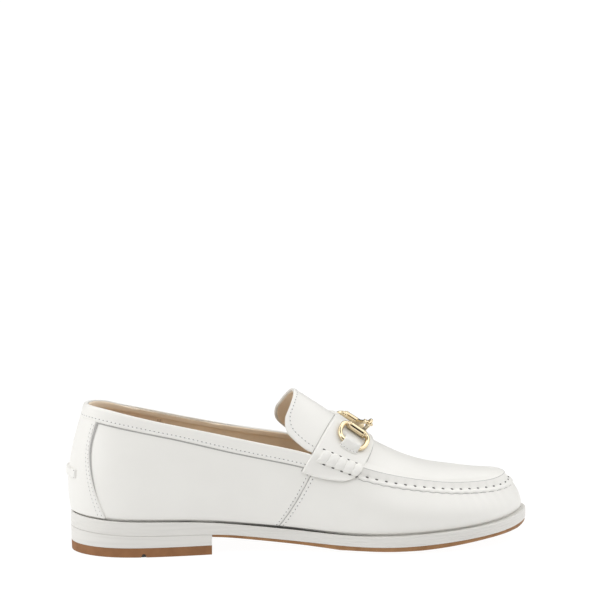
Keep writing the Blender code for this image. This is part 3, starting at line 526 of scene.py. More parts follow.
class Nodes:
    """Nodes of a material or of the world."""

    def __init__(self, tree):
        self.tree = tree

    def feed(self, socket, value):
        """Set an input to a number or colour, or join it to the output of another node."""
        if isinstance(value, bpy.types.NodeSocket):
            self.tree.links.new(value, socket)
        else:
            socket.default_value = value

    def fill(self, node, **values):
        """Feed some of a node's inputs, by name."""
        for name, value in values.items():
            self.feed(node.inputs[name.replace("_", " ")], value)
        return node

    def node(self, kind, **values):
        return self.fill(self.tree.nodes.new("ShaderNode" + kind), **values)

    def spread(self, value, low, high, out_low, out_high, kind="LINEAR"):
        """Value between low and high, carried over to another span."""
        span = self.node("MapRange", Value=value, From_Min=low, From_Max=high, To_Min=out_low,
                         To_Max=out_high)
        span.interpolation_type = kind
        return span.outputs["Result"]

    def join(self, operation, *values):
        """Result of a calculation with values."""
        node = self.node("Math")
        node.operation = operation
        for socket, value in zip(node.inputs, values):
            self.feed(socket, value)
        return node.outputs["Value"]


class Look(Nodes):
    """A material under construction, round one principled shader."""

    def __init__(self, name, colour, roughness, **settings):
        self.material = bpy.data.materials.new(name)
        self.material.use_nodes = True
        super().__init__(self.material.node_tree)
        self.shader = self.tree.nodes["Principled BSDF"]
        self.fill(self.shader, Base_Color=(*colour, 1.0), Roughness=roughness, **settings)
        self.place = self.node("TexCoord").outputs["Object"]
        self.relief = {}

    def noise(self, scale, detail=2.0, stretch=(1, 1, 1)):
        """Noise with features of about 1/scale metres."""
        place = self.node("Mapping", Vector=self.place, Scale=stretch).outputs["Vector"]
        return self.node("TexNoise", Vector=place, Scale=scale, Detail=detail).outputs["Fac"]

    def cells(self, scale):
        """Distance to the nearest of random points, for pores and grain."""
        return self.node("TexVoronoi", Vector=self.place, Scale=scale).outputs["Distance"]

    def tint(self, value, colours, stops=(0.35, 0.65)):
        """Base colour that changes with value."""
        ramp = self.node("ValToRGB", Fac=value)
        for stop, place, colour in zip(ramp.color_ramp.elements, stops, colours):
            stop.position = place
            stop.color = (*colour, 1.0)
        self.fill(self.shader, Base_Color=ramp.outputs["Color"])

    def rough(self, value, low, high):
        self.fill(self.shader, Roughness=self.spread(value, 0.3, 0.7, low, high))

    def bump(self, value, strength, distance):
        """Fine relief on top of the shape; several are chained."""
        node = self.node("Bump", Height=value, Strength=strength, Distance=distance, **self.relief)
        self.relief = {"Normal": node.outputs["Normal"]}
        self.fill(self.shader, **self.relief)


def smooth_leather(name, light, shade, roughness):
    """Polished calf: nearly even colour, fine pores and a soft sheen."""
    made = Look(name, light, roughness, Coat_Weight=0.06, Coat_Roughness=0.3)
    made.tint(made.noise(55.0, 3.0), (shade, light))
    made.rough(made.noise(240.0, 3.0), roughness - 0.05, roughness + 0.06)
    made.bump(made.cells(1900.0), 0.05, 0.0002)
    made.bump(made.noise(650.0, 4.0), 0.05, 0.0003)
    return made.material


def lining_leather(name, light, shade):
    """Dull tan leather with an open grain."""
    made = Look(name, light, 0.62, Sheen_Weight=0.15)
    made.tint(made.noise(90.0, 5.0), (shade, light))
    made.rough(made.noise(300.0, 3.0), 0.55, 0.7)
    made.bump(made.cells(1300.0), 0.1, 0.0003)
    made.bump(made.noise(420.0, 4.0), 0.12, 0.0004)
    return made.material


def layered_edge(name, light, shade, roughness):
    """Painted edge of stacked leather, with faint lines along it."""
    made = Look(name, light, roughness)
    lines = made.noise(620.0, 3.0, stretch=(0.04, 0.04, 1.0))
    made.tint(lines, (shade, light), stops=(0.3, 0.55))
    made.rough(made.noise(260.0, 2.0), roughness - 0.06, roughness + 0.08)
    made.bump(lines, 0.12, 0.0003)
    made.bump(made.noise(900.0, 3.0), 0.08, 0.0002)
    return made.material


def sole_material(name, light, shade, roughness, grain):
    """Brown leather or rubber of the tread."""
    made = Look(name, light, roughness, Specular_IOR_Level=0.3)
    made.tint(made.noise(140.0, 5.0), (shade, light))
    made.rough(made.noise(320.0, 3.0), roughness - 0.08, roughness + 0.1)
    made.bump(made.noise(grain, 4.0), 0.16, 0.0004)
    return made.material


def gilt_metal(name, colour):
    """Polished metal, very slightly uneven."""
    made = Look(name, colour, 0.09, Metallic=1.0)
    made.rough(made.noise(420.0, 3.0), 0.05, 0.1)
    made.bump(made.noise(160.0, 2.0), 0.02, 0.0002)
    return made.material


def thread_and_shade_material(name, light, shade):
    """Thread, and flat colours that paint the shade in needle holes, grooves and along edges."""
    made = Look(name, light, 0.6, Sheen_Weight=0.2)
    made.tint(made.noise(1200.0, 2.0), (shade, light))
    made.bump(made.noise(2600.0, 2.0), 0.3, 0.0001)
    return made.material


WHITE = smooth_leather("white_calf", (0.845, 0.833, 0.795), (0.832, 0.82, 0.782), 0.42)
LINING = lining_leather("tan_lining", (0.88, 0.75, 0.59), (0.83, 0.695, 0.535))
EDGE = layered_edge("white_edge", (0.74, 0.725, 0.69), (0.70, 0.685, 0.65), 0.5)
BROWN = sole_material("brown_sole", (0.36, 0.19, 0.085), (0.28, 0.14, 0.06), 0.62, 700.0)
RUBBER = sole_material("brown_top_lift", (0.30, 0.14, 0.06), (0.25, 0.115, 0.048), 0.66, 1100.0)
GILT = gilt_metal("gilt", (0.76, 0.63, 0.42))
THREAD = thread_and_shade_material("white_thread", (0.86, 0.855, 0.84), (0.78, 0.775, 0.755))
# Painted shade: these three dark colours stand in for the shade inside needle holes
STITCH_SHADE = thread_and_shade_material("needle_mark", (0.24, 0.236, 0.228), (0.18, 0.177, 0.171))
FAINT_STITCH_SHADE = thread_and_shade_material("faint_needle_mark", (0.45, 0.443, 0.43), (0.38, 0.374, 0.363))
HOLE = thread_and_shade_material("needle_hole", (0.13, 0.126, 0.12), (0.09, 0.088, 0.085))
# Painted shade: the greys on the next lines stand in for shadow lines along edges, grooves and seams, and the
# near-black for the shade in the crevice over the sole and in the heel groove
SHADE_GREY = thread_and_shade_material("seam_grey", (0.45, 0.443, 0.43), (0.39, 0.384, 0.372))
GAP_SHADE = thread_and_shade_material("welt_gap", (0.04, 0.037, 0.032), (0.03, 0.028, 0.024))
SHADE_PALE = thread_and_shade_material("edge_grey", (0.52, 0.512, 0.495), (0.46, 0.453, 0.438))
GRIP = lining_leather("heel_grip", (0.78, 0.62, 0.465), (0.72, 0.565, 0.415))
LINING_THREAD = thread_and_shade_material("tan_thread", (0.47, 0.36, 0.26), (0.38, 0.29, 0.2))


# Meshes


def add_object(name, data):
    """New object in the scene."""
    made = bpy.data.objects.new(name, data)
    bpy.context.scene.collection.objects.link(made)
    return made


def add_piece(name, points, faces, material, slot="upper_leather", replaced=(), sharp=50):
    """Piece of the shoe through points in millimetres, with equal points joined."""
    mesh = bpy.data.meshes.new(name)
    mesh.from_pydata(((np.asarray(points) - ORIGIN) * MM).tolist(), [], faces)
    work = bmesh.new()
    work.from_mesh(mesh)
    bmesh.ops.remove_doubles(work, verts=work.verts, dist=0.003 * MM)
    bmesh.ops.recalc_face_normals(work, faces=work.faces)
    work.to_mesh(mesh)
    work.free()
    mesh.materials.append(material)
    mesh.shade_smooth()
    mesh.set_sharp_from_angle(angle=math.radians(sharp))
    piece = add_object(name, mesh)
    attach(piece, "root")
    if replaced:
        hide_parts(*replaced)
    return piece


def slab(name, top, bottom, material, **options):
    """Closed solid between two grids of points of the same size."""
    index = np.arange(top.shape[0] * top.shape[1]).reshape(top.shape[:2])
    rim = np.concatenate([index[0], index[1:, -1], index[-1, -2::-1], index[-2:0:-1, 0]])
    quads = np.stack([index[:-1, :-1], index[:-1, 1:], index[1:, 1:], index[1:, :-1]], -1).reshape(-1, 4)
    walls = np.stack([rim, np.roll(rim, -1), np.roll(rim, -1) + index.size, rim + index.size], -1)
    faces = np.concatenate([quads, quads + index.size, walls]).tolist()
    points = np.concatenate([top.reshape(-1, 3), bottom.reshape(-1, 3)])
    return add_piece(name, points, faces, material, **options)


def layer(name, face, u, v, high, low, material, **options):
    """Closed solid between two heights over a surface face(u, v)."""
    return slab(name, lifted(face, u, v, high), lifted(face, u, v, low), material, **options)


def tube_faces(count, sides, start=0, closed=False):
    """Faces of a tube through rings of points, with a cap on each end unless it closes on itself."""
    index = start + np.arange(count * sides).reshape(count, sides)
    beside = np.roll(index, -1, 1)
    quads = np.stack([index, beside, np.roll(beside, -1, 0), np.roll(index, -1, 0)], -1)
    if closed:
        return quads.reshape(-1, 4).tolist()
    return [index[0].tolist(), index[-1].tolist()] + quads[:-1].reshape(-1, 4).tolist()


def tubes(name, parts, material, **options):
    """One piece of several closed solids, each (sections that are loops of points, whether it is a ring)."""
    points, faces = [], []
    for sections, closed in parts:
        faces += tube_faces(*sections.shape[:2], len(points), closed)
        points.extend(sections.reshape(-1, 3).tolist())
    return add_piece(name, points, faces, material, **options)


def loft(name, loops, material, **options):
    """Closed solid through a list of loops of points."""
    return tubes(name, [(np.stack(loops), False)], material, **options)


def ribbon(name, lines, width, height, material, **options):
    """Low rounded strips along lines of points with outward directions; their size may change along."""
    parts = []
    for point, normal in lines:
        side = unit(np.cross(normal, np.gradient(point, axis=0)))
        side = side * np.broadcast_to(width, len(point))[:, None] / 2
        rise = normal * np.broadcast_to(height, len(point))[:, None]
        ring = [point + side * math.cos(turn) + rise * math.sin(turn) for turn in np.linspace(0, np.pi, 7)]
        ring += [point + side * share - normal * 0.4 for share in (-0.6, 0.6)]
        parts.append((np.stack(ring, 1), False))
    return tubes(name, parts, material, **options)


def spaced(point, normal, pitch, shift=0.5):
    """Places, outward directions and headings at equal steps along a line of points."""
    length = run_length(point)
    at = np.arange(shift * pitch, length[-1], pitch)

    def read(values, where):
        return np.stack([np.interp(where, length, values[:, k]) for k in range(3)], -1)

    heading = unit(read(point, at + 0.1) - read(point, at - 0.1))
    out = read(normal, at)
    return read(point, at), unit(out - heading * np.sum(out * heading, 1, keepdims=True)), heading


def beads(name, rows, size, material, **options):
    """Many rounded beads in one piece, from rows of places, outward directions and headings."""
    rings, sides = 7, 8
    turn = np.linspace(0, np.pi, rings)
    around = np.linspace(0, 2 * np.pi, sides, endpoint=False)
    radius = np.sin(turn) ** 0.6
    lengthwise = np.repeat(-np.sign(np.cos(turn)) * np.abs(np.cos(turn)) ** 0.7, sides)
    shape = np.stack([lengthwise, np.outer(radius, np.cos(around)).ravel(),
                      np.outer(radius, np.sin(around)).ravel()], -1) * size
    sides_only = np.array(tube_faces(rings, sides)[2:])
    points = []
    for place, out, heading in rows:
        axes = np.stack([heading, np.cross(out, heading), out], 1)
        points.append((place[:, None] + shape @ axes).reshape(-1, 3))
    points = np.concatenate(points)
    starts = np.arange(0, len(points), len(shape))
    faces = (starts[:, None, None] + sides_only).reshape(-1, 4).tolist()
    return add_piece(name, points, faces, material, **options)


thread_rows, hole_rows, stay_holes, seam_holes = [], [], [], []


def sew(point, normal, pitch, height, holes=hole_rows):
    """Note a row of stitches at a height over a line, and the needle holes between them."""
    raised = point + normal * height
    thread_rows.append(spaced(raised, normal, pitch))
    holes.append(spaced(raised, normal, pitch, 0.0))


# Camera, light and floor


def add_camera():
    yaw, tilt = math.radians(AZIMUTH), math.radians(ELEVATION)
    back = np.array([math.sin(yaw) * math.cos(tilt), -math.cos(yaw) * math.cos(tilt), math.sin(tilt)])
    pitch = tilt - math.atan2(AIM_ROW - IMAGE / 2, FOCAL_PIXELS)
    ahead = Vector((-math.sin(yaw) * math.cos(pitch), math.cos(yaw) * math.cos(pitch), -math.sin(pitch)))
    right = Vector((math.cos(yaw), math.sin(yaw), 0.0))
    data = bpy.data.cameras.new("camera")
    data.sensor_width = SENSOR
    data.lens = SENSOR * FOCAL_PIXELS / IMAGE
    data.clip_start, data.clip_end = 0.05, 200.0
    camera = add_object("camera", data)
    turn = Matrix((right, right.cross(ahead), -ahead)).transposed().to_4x4()
    spot = (AIM + back * CAMERA_DISTANCE - ORIGIN) * MM
    camera.matrix_world = Matrix.Translation(Vector(spot)) @ turn
    bpy.context.scene.camera = camera


def add_light(name, place, size, power, aim):
    data = bpy.data.lights.new(name, "AREA")
    data.shape = "RECTANGLE"
    data.size, data.size_y = size
    data.energy = power
    light = add_object(name, data)
    light.location = place
    light.rotation_euler = (Vector(aim) - Vector(place)).to_track_quat("-Z", "Y").to_euler()


def add_world():
    """White tent: brightest overhead and at both ends, dark in front round the camera and low behind."""
    world = bpy.data.worlds.new("studio")
    world.use_nodes = True
    nodes = Nodes(world.node_tree)
    axes = nodes.node("SeparateXYZ", Vector=nodes.node("TexCoord").outputs["Generated"])
    x, y, z = axes.outputs["X"], axes.outputs["Y"], axes.outputs["Z"]
    join = nodes.join

    def step(value, *span):
        return nodes.spread(value, *span, "SMOOTHSTEP")

    ends = step(join("ABSOLUTE", x), 0.4, 0.85, 0.5, 1.45)
    overhead = step(z, 0.66, 0.8, 0.0, 1.36)
    front = join("MULTIPLY", step(y, -0.7, -0.4, 0.95, 0.0), step(z, 0.48, 0.64, 1.0, 0.0))
    behind = join("MULTIPLY", step(y, 0.3, 0.6, 0.0, 0.85), step(z, 0.25, 0.5, 1.0, 0.0))
    dark = join("SUBTRACT", 1.0, join("ADD", front, behind))
    above = join("MULTIPLY", step(y, -0.75, -0.35, 0.55, 0.0), step(z, 0.5, 0.62, 0.0, 1.0))
    strength = join("ADD", join("MULTIPLY", ends, dark), join("ADD", overhead, above))
    strength = join("MULTIPLY", strength, step(z, 0.91, 0.96, 1.0, 0.1))
    nodes.fill(nodes.tree.nodes["Background"], Strength=strength, Color=(1.0, 1.0, 1.0, 1.0))
    bpy.context.scene.world = world


def add_floor():
    """Pale floor that glows a little, like a light table."""
    mesh = bpy.data.meshes.new("floor")
    corners = [(x * FLOOR_HALF, y * FLOOR_HALF, 0) for x, y in ((-1, -1), (1, -1), (1, 1), (-1, 1))]
    mesh.from_pydata(corners, [], [(0, 1, 2, 3)])
    made = Look("pale_floor", (0.08, 0.08, 0.08), 0.9, Emission_Strength=0.97, Specular_IOR_Level=0.0,
                Emission_Color=(1.0, 1.0, 1.0, 1.0))
    made.tint(made.noise(3.0), ((0.077, 0.077, 0.077), (0.083, 0.083, 0.083)))
    mesh.materials.append(made.material)
    floor = add_object("floor", mesh)
    floor.location.z = -FLOOR_DROP


# Upper


def seam_arc(a):
    """Length along the seam from the strap towards the toe, and on by the other side."""
    t = np.linspace(top_t(SEAM_START), 1, 600)
    inner, outer = (run_length(top_edge(side * t)) for side in (INNER, OUTER))
    beyond = inner[-1] + outer[-1] - np.interp(np.abs(a), t, outer)
    return np.where(np.asarray(a) < 0, np.interp(np.abs(a), t, inner), beyond)


def stitch_pull(a):
    """1 at a stitch of the apron seam, 0 half way between stitches."""
    return 0.5 + 0.5 * np.cos(2 * np.pi * (seam_arc(a) - SEAM_PHASE) / SEAM_PITCH)


def sole_tuck(a, level):
    """How far the wall is tucked in just over the sole."""
    return TUCK_DEPTH * np.exp(-(np.maximum(level * wall_height(a), 0) / TUCK_REACH) ** 2)


def wall_relief(a, level):
    """Relief of the wall: tucked in over the sole and under the seam, gathered below it, a little uneven."""
    height = wall_height(a)
    up, down = level * height, (1 - level) * height
    x = top_edge(a.ravel())[:, 0].reshape(a.shape)
    sunk = smooth(SEAM_START, SEAM_START + SEAM_EASE, x) * (1 - smooth(*SINK_BAND, down))
    gather = smooth(*GATHER_X, x) * np.exp(-down / GATHER_REACH) * (0.5 - stitch_pull(a))
    uneven = np.sin(x / 13.0 + 3.0 * level) * np.sin(up / 7.0 + a * 4.0) * smooth(0, 8, up)
    return GATHER_HEIGHT * gather + UNEVEN_HEIGHT * uneven - SEAM_SINK * sunk - sole_tuck(a, level)


def add_wall():
    """Quarters round the heel and vamp round the toe, with a groove where they meet at the side seams."""
    near_sole = [-0.02, 0, 0.006, 0.012, 0.02, 0.03, 0.043, 0.06, 0.085]
    level = np.concatenate([near_sole, np.linspace(0.115, 0.9, 40), np.linspace(0.915, 1, 8)])
    seam = reach(SIDE_SEAM, level)[:, None]
    level = level[:, None]
    for name, length, step in (("quarters", 150.0, 2.2), ("vamp_wall", 185.0, 0.9)):
        even = np.linspace(2.5, length, int(length / step))
        share = np.concatenate([[0, 0.12, 0.25, 0.4, 0.6, 0.9, 1.4], even]) / length
        if name == "quarters":
            half = seam * (1 - share)
            a = np.concatenate([half, -half[:, -2::-1]], 1)
        else:
            half = seam + (1 - seam) * share
            a = np.concatenate([-half, half[:, -2::-1]], 1)
        edge = np.concatenate([share, share[-2::-1]]) * length
        groove = GROOVE_EDGE_DEPTH * np.exp(-(edge / GROOVE_EDGE_REACH) ** 2)
        relief = wall_relief(a, level) - groove
        layer(name, side_wall, a, level, relief, relief - PANEL_THICKNESS, WHITE, replaced=["upper"])


def add_apron():
    """Leather over the toe and instep, inside the apron seam."""
    t = np.linspace(top_t(STRAP_MIDDLE - 1), 0.975, 110)
    x, q = grid(edge_x(TOP_EDGE, t), mirrored(np.linspace(0, 0.1, 9), np.linspace(-0.88, 0.88, 51)))
    inset = (1 - np.abs(q)) * along(TOP_EDGE, "inner", t)[:, None]
    sunk = smooth(SEAM_START, SEAM_START + SEAM_EASE, x) * (1 - smooth(*APRON_SINK_BAND, inset))
    relief = APRON_UNEVEN_HEIGHT * np.sin(x / 15.0) * np.cos(3 * q) - SEAM_SINK * sunk
    layer("apron", instep, x, q, relief, relief - PANEL_THICKNESS, WHITE, replaced=["upper"])


def add_lining():
    """Tan leather inside the upper, with a heel grip that ends at a sewn seam."""
    inside = {"slot": "lining_leather", "replaced": ["upper"]}
    a, level = grid(np.linspace(-1, 1, 241), np.linspace(0.01, 0.985, 34))
    layer("lining", side_wall, a, level, LINING_BACK, LINING_FACE, LINING, **inside)
    level = np.linspace(0.02, 0.975, 30)
    a = np.linspace(-1, 1, 81)[:, None] * reach(LINING_SEAM, level)
    layer("heel_grip", side_wall, a, level, -UPPER_WALL, GRIP_FACE, GRIP, **inside)
    t = np.linspace(top_t(STRAP_MIDDLE), 0.96, 50)
    x, q = grid(edge_x(TOP_EDGE, t), np.linspace(-0.99, 0.99, 31))
    layer("vamp_lining", instep, x, q, LINING_BACK, LINING_FACE, LINING, **inside)
    level = np.linspace(0.1, 0.93, 120)
    rows = []
    for side in (INNER, OUTER):
        for shift in LINING_STITCH_OFFSETS:
            point, normal = on_face(side_wall, side * (reach(LINING_SEAM, level) + shift), level)
            rows.append(spaced(point + normal * (GRIP_FACE - 0.05), -normal, STAY_PITCH))
    beads("lining_stitches", rows, LINING_STITCH_SIZE, LINING_THREAD, slot="lining_leather")


def add_insole():
    """Sock of tan leather, turned up a little along its edge."""
    a = np.linspace(0.02, 0.985, 90)
    share = np.linspace(-1, 1, 25)
    inner, outer = (feather(side * a, UPPER_WALL + INSOLE_CLEARANCE)[:, None] for side in (INNER, OUTER))
    bottom = (inner + outer) / 2 + (outer - inner) / 2 * share[:, None]
    top = bottom.copy()
    top[..., 2] += INSOLE_THICKNESS + INSOLE_LIP * np.abs(share) ** 6
    slab("sock", top, bottom, LINING, slot="lining_leather", replaced=["insole"], sharp=60)


def tongue_layer(name, inset, high, low, rounding, material, **options):
    """One layer of the tongue between two heights, set in from its edge."""
    root = np.concatenate([[0, 0.02, 0.045, 0.075], np.linspace(0.11, 0.72, 30), np.linspace(0.76, 1, 7)])
    across = mirrored([0, 0.004, 0.01, 0.02, 0.036, 0.06], np.linspace(-0.92, 0.92, 45))
    root, across = grid(root, across)
    from_end = (TONGUE_LENGTH - inset) * root ** 2
    half = TONGUE_PLAN.read("half", root) - inset / TONGUE_HALF_WIDTH
    rim = np.minimum((1 - np.abs(across)) * half * TONGUE_HALF_WIDTH, from_end)
    fall = rounding * (1 - rounded(rim, rounding))
    layer(name, tongue_face, TONGUE_END + inset + from_end, across * half, high - fall, low + 0.5 * fall,
          material, replaced=["tongue"], sharp=70, **options)


def add_tongue():
    """Tongue of white leather on a white stiffener and a tan back, with stitches inside its edge."""
    tongue_layer("tongue_leather", 0.0, 0.0, -1.1, 0.7, WHITE)
    tongue_layer("tongue_backing", 0.25, -1.0, -1.95, 0.4, WHITE)
    tongue_layer("tongue_lining", 0.9, -1.9, -2.3, 0.2, LINING, slot="lining_leather")
    inset, side_inset = 1.4, 0.066
    root = np.linspace(0.9, 0.0, 120)
    side_x = TONGUE_END + inset + (TONGUE_LENGTH - inset) * root ** 2
    side_q = TONGUE_PLAN.read("half", root) - side_inset
    end_q = np.linspace(-side_q[-1], side_q[-1], 60)[1:-1]
    line_x = np.concatenate([side_x, np.full(len(end_q), side_x[-1]), side_x[::-1]])
    line_q = np.concatenate([-side_q, end_q, side_q[::-1]])
    sew(*on_face(tongue_face, line_x, line_q), STITCH_PITCH, FLAT_STITCH_HEIGHT)


def collar_drop(a):
    """How far the collar band reaches below the top edge: a little less round the heel."""
    return COLLAR_BAND_HEIGHT - COLLAR_HEEL_RISE * (1 - smooth(0.28, 0.4, np.abs(a)))


def add_collar_band():
    """Band folded over the top edge: rounded outside, over the edge and down to the lining."""
    end = top_t(COLLAR_BAND_END + COLLAR_RUN_UNDER)
    around = np.linspace(-end, end, 261)

    def below(distance, height):
        return lifted(side_wall, around, level_below_top(around, distance), height)

    rows = [below(share * collar_drop(around), height) for share, height in COLLAR_SECTION.rows]
    fold = len(rows)
    level = level_below_top(around, COLLAR_FOLD_BELOW)
    point, normal = on_face(side_wall, around, level)
    climb = unit(side_wall(around, level + 0.01) - point)
    under = smooth(end - 0.014, end - 0.006, np.abs(around))[:, None]
    low, high = GRIP_FACE * (1 - under) + 0.2 * under, COLLAR_FOLD_OUT
    crest = COLLAR_CREST - COLLAR_CREST_FALL * smooth(0.12, 0.3, np.abs(around))
    crest -= smooth(0.14, 0.22, around) * (1 - smooth(0.34, 0.44, around))
    crest = crest[:, None] * (1 - 0.8 * under)
    for turn in np.linspace(0, np.pi, 11):
        out = (low + high) / 2 + (high - low) / 2 * math.cos(turn)
        rows.append(point + normal * out + climb * crest * math.sin(turn))
    inside = [point + normal * (low + 0.6) + climb * 0.1, point - climb * 0.5]
    inside += [below(4.0, -0.3), below(collar_drop(around), -0.3)]
    sections = np.stack(rows[:fold + 8] + inside, 1)
    loft("collar_leather", sections, WHITE, replaced=["collar_band"], sharp=70)
    facing = [below(distance, -UPPER_WALL - depth) for distance, depth in FACING_SECTION.rows]
    facing = rows[fold + 6:] + facing + [point + normal * (low + 0.9) + climb * 0.2]
    sections = np.stack(facing, 1)[under[:, 0] < 0.01]
    loft("collar_facing", sections, LINING, slot="lining_leather", replaced=["collar_band"], sharp=70)
    sewn = np.linspace(-1, 1, 261) * top_t(COLLAR_BAND_END - 1)
    level = level_below_top(sewn, collar_drop(sewn) - COLLAR_STITCH_INSET)
    sew(*on_face(side_wall, sewn, level), STITCH_PITCH, COLLAR_STITCH_HEIGHT)


def add_back_stay():
    """Strip over the back seam, with a rounded edge and two rows of stitches."""
    high = float(level_below_top(np.zeros(1), COLLAR_BAND_HEIGHT - 1.5)[0])
    level = np.linspace(0.02, high, 60)
    near = np.array([0, 0.15, 0.35, 0.6, 1.0, 1.5, 2.2]) / STAY_HALF_WIDTH
    share = mirrored(near, np.linspace(-0.88, 0.88, 45))
    a = reach(STAY_EDGE, level, STAY_REACH)[:, None] * share
    level = level[:, None]
    edge = rounded((1 - np.abs(share)) * STAY_HALF_WIDTH, STAY_EDGE_RADIUS)
    height = 0.05 + STAY_HEIGHT * edge - sole_tuck(a, level)
    layer("back_stay_leather", side_wall, a, level, height, -STAY_ROOT, WHITE, replaced=["back_stay"],
          sharp=70)
    level = np.linspace(0.05, 0.86, 150)
    for side in (INNER, OUTER):
        for inset in STAY_STITCH_INSETS:
            line = side * reach(STAY_EDGE, level, STAY_REACH) * (1 - inset / STAY_HALF_WIDTH)
            sew(*on_face(side_wall, line, level), STAY_PITCH, STAY_HEIGHT, stay_holes)


def add_shade_lines():
    """Painted shade: grey lines at the stay's edge, in the side seam grooves, under the collar band and along
    the strap's edges, and a near-black line in the crevice over the sole.
    """
    level = np.linspace(0.012, 0.885, 150)
    shift = np.interp(level, [0, 0.17, 0.5, 0.87], [-0.003, -0.0035, 0.0, 0.0025])
    height = 0.35 - sole_tuck(np.zeros(1), level)[:, None]
    lines = []
    for side in (INNER, OUTER):
        point, normal = on_face(side_wall, side * (reach(STAY_EDGE, level, STAY_REACH) + shift), level)
        lines.append((point + normal * height, normal))
    ribbon("stay_edge_shade", lines, np.interp(level, [0, 0.5, 0.87], [1.3, 1.4, 1.7]), 0.25, SHADE_GREY)
    level = np.linspace(0.012, 0.83, 120)
    lines = []
    for side in (INNER, OUTER):
        point, normal = on_face(side_wall, side * reach(SIDE_SEAM, level), level)
        lines.append((point - normal * 0.3, normal))
    ribbon("side_seam_shade", lines, 0.5, 0.12, SHADE_PALE)
    around = np.linspace(-1, 1, 261) * top_t(COLLAR_BAND_END - 2)
    point, normal = on_face(side_wall, around, level_below_top(around, collar_drop(around) + 0.3))
    ribbon("collar_shadow_edge", [(point + normal * 0.1, normal)], 1.0, 0.2, SHADE_GREY)
    w = np.linspace(-0.99, 0.99, 200)
    lines = [on_face(strap_face, edge, w) for edge in (strap_rear(w) - 0.012, np.full(200, 1.012))]
    ribbon("strap_shadow_edge", lines, 0.5, 0.15, SHADE_PALE)
    # Painted shadow: a near-black strip along the crevice where the upper meets the sole
    foot = feather(np.linspace(-1, 1, 401) * float(edge_t(SOLE_PLAN, WELT_SHADE.x[-1])), -0.35)
    foot[:, 2] -= GAP
    size = np.interp(foot[:, 0], WELT_SHADE.x, WELT_SHADE.size)
    up = np.tile([0.0, 0.0, 1.0], (len(foot), 1))
    ribbon("welt_shade_line", [(foot, up)], 1.3 * size, size, GAP_SHADE, slot="sole_edge")


def add_side_stitches():
    """A row of stitches on both sides of each side seam."""
    level = np.linspace(0.04, 0.8, 120)
    for side in (INNER, OUTER):
        for offset in SIDE_STITCH_OFFSETS:
            line = side * (reach(SIDE_SEAM, level) + offset)
            sew(*on_face(side_wall, line, level), STITCH_PITCH, FLAT_STITCH_HEIGHT)


def add_heel_tab():
    """Short strap across the back stay, with sewn ends."""
    t = np.linspace(0, 0.3, 121)
    half = np.interp(TAB_HALF_WIDTH, side_wall(t, TAB_MIDDLE_HEIGHT)[:, 1], t)
    half_level = TAB_HALF_HEIGHT / float(wall_height(np.zeros(1))[0])
    near = np.array([0, 0.02, 0.05, 0.09, 0.14])
    across = mirrored(near, np.linspace(-0.8, 0.8, 33))
    across, up = grid(across, mirrored(near * 2.5, np.linspace(-0.5, 0.5, 5)))
    rim = np.minimum((1 - np.abs(across)) * TAB_HALF_WIDTH, (1 - np.abs(up)) * TAB_HALF_HEIGHT)
    bow = TAB_BOW * (1 - np.abs(across) ** 4)
    height = TAB_BASE + TAB_HEIGHT * rounded(rim, TAB_EDGE_RADIUS) + bow
    level = TAB_MIDDLE_HEIGHT + half_level * up
    layer("heel_tab_leather", side_wall, half * across, level, height, 0.9, WHITE, replaced=["heel_tab"],
          sharp=70)
    line = TAB_MIDDLE_HEIGHT + half_level * np.linspace(-0.75, 0.75, 20)
    for share in (-0.94, 0.94):
        sew(*on_face(side_wall, np.full(20, half * share), line), TAB_END_PITCH, TAB_BASE + TAB_HEIGHT)
    line = half * np.linspace(-0.9, 0.9, 60)
    level = np.full(60, TAB_MIDDLE_HEIGHT + half_level * 0.72)
    sew(*on_face(side_wall, line, level), TAB_PITCH, TAB_STITCH_HEIGHT)


# Apron seam, strap and rolls


def seam_ground(around, distance):
    """Point of the upper at a distance from the seam at each station: on the wall, or on the apron."""
    wall = side_wall(around, level_below_top(around, np.maximum(distance, 0)))
    inward = np.minimum(distance, 0)[:, None]
    apron = apron_at(plan_edge(TOP_EDGE, around) + plan_outward(TOP_EDGE, around) * inward)
    return np.where((distance >= 0)[:, None], wall, apron)


def add_apron_seam():
    """Hand-sewn seam: raised apron edge, stitched valley and a lip that the stitches draw into scallops."""
    t = np.linspace(top_t(SEAM_START), 1, 330)
    around = np.concatenate([-t, t[-2::-1]])
    pull = stitch_pull(around)
    drift = SEAM_DRIFT.read("drift", edge_x(TOP_EDGE, np.abs(around)))
    face, root, outs = [], [], []
    for from_line, height, sway, draw in SEAM_SECTION.rows:
        distance = from_line + drift + sway * (0.5 - pull)
        point = seam_ground(around, distance)
        across = seam_ground(around, distance + 0.5) - seam_ground(around, distance - 0.5)
        out = outward(np.cross(np.gradient(point, axis=0), across), point)
        face.append(point + out * (height - draw * pull * pull)[:, None])
        root.append(point + out * SEAM_ROOT)
        outs.append(out)
    sections = np.stack(face + root[::-1][1:-1], 1)
    loft("apron_seam_leather", sections, WHITE, replaced=["apron_seam"], sharp=80)
    # Painted shade: a grey line along the apron's raised edge and a darker one for the shadow under the lip's
    # scalloped edge
    ribbon("apron_edge_shade", [(face[SEAM_RIDGE], outs[SEAM_RIDGE])], 0.45, 0.05, SHADE_PALE)
    lip = outs[SEAM_LIP]
    ribbon("lip_edge_shadow", [(face[SEAM_LIP + 1] - lip * 0.2, lip)], 0.7, 0.05, SHADE_GREY)
    valley = outs[SEAM_VALLEY]
    first = int(np.argmin(np.abs(seam_arc(around) - SEAM_PHASE)))
    line = face[SEAM_VALLEY] + valley * 0.25
    seam_holes.append(spaced(line[first:], valley[first:], SEAM_PITCH, 0.0))


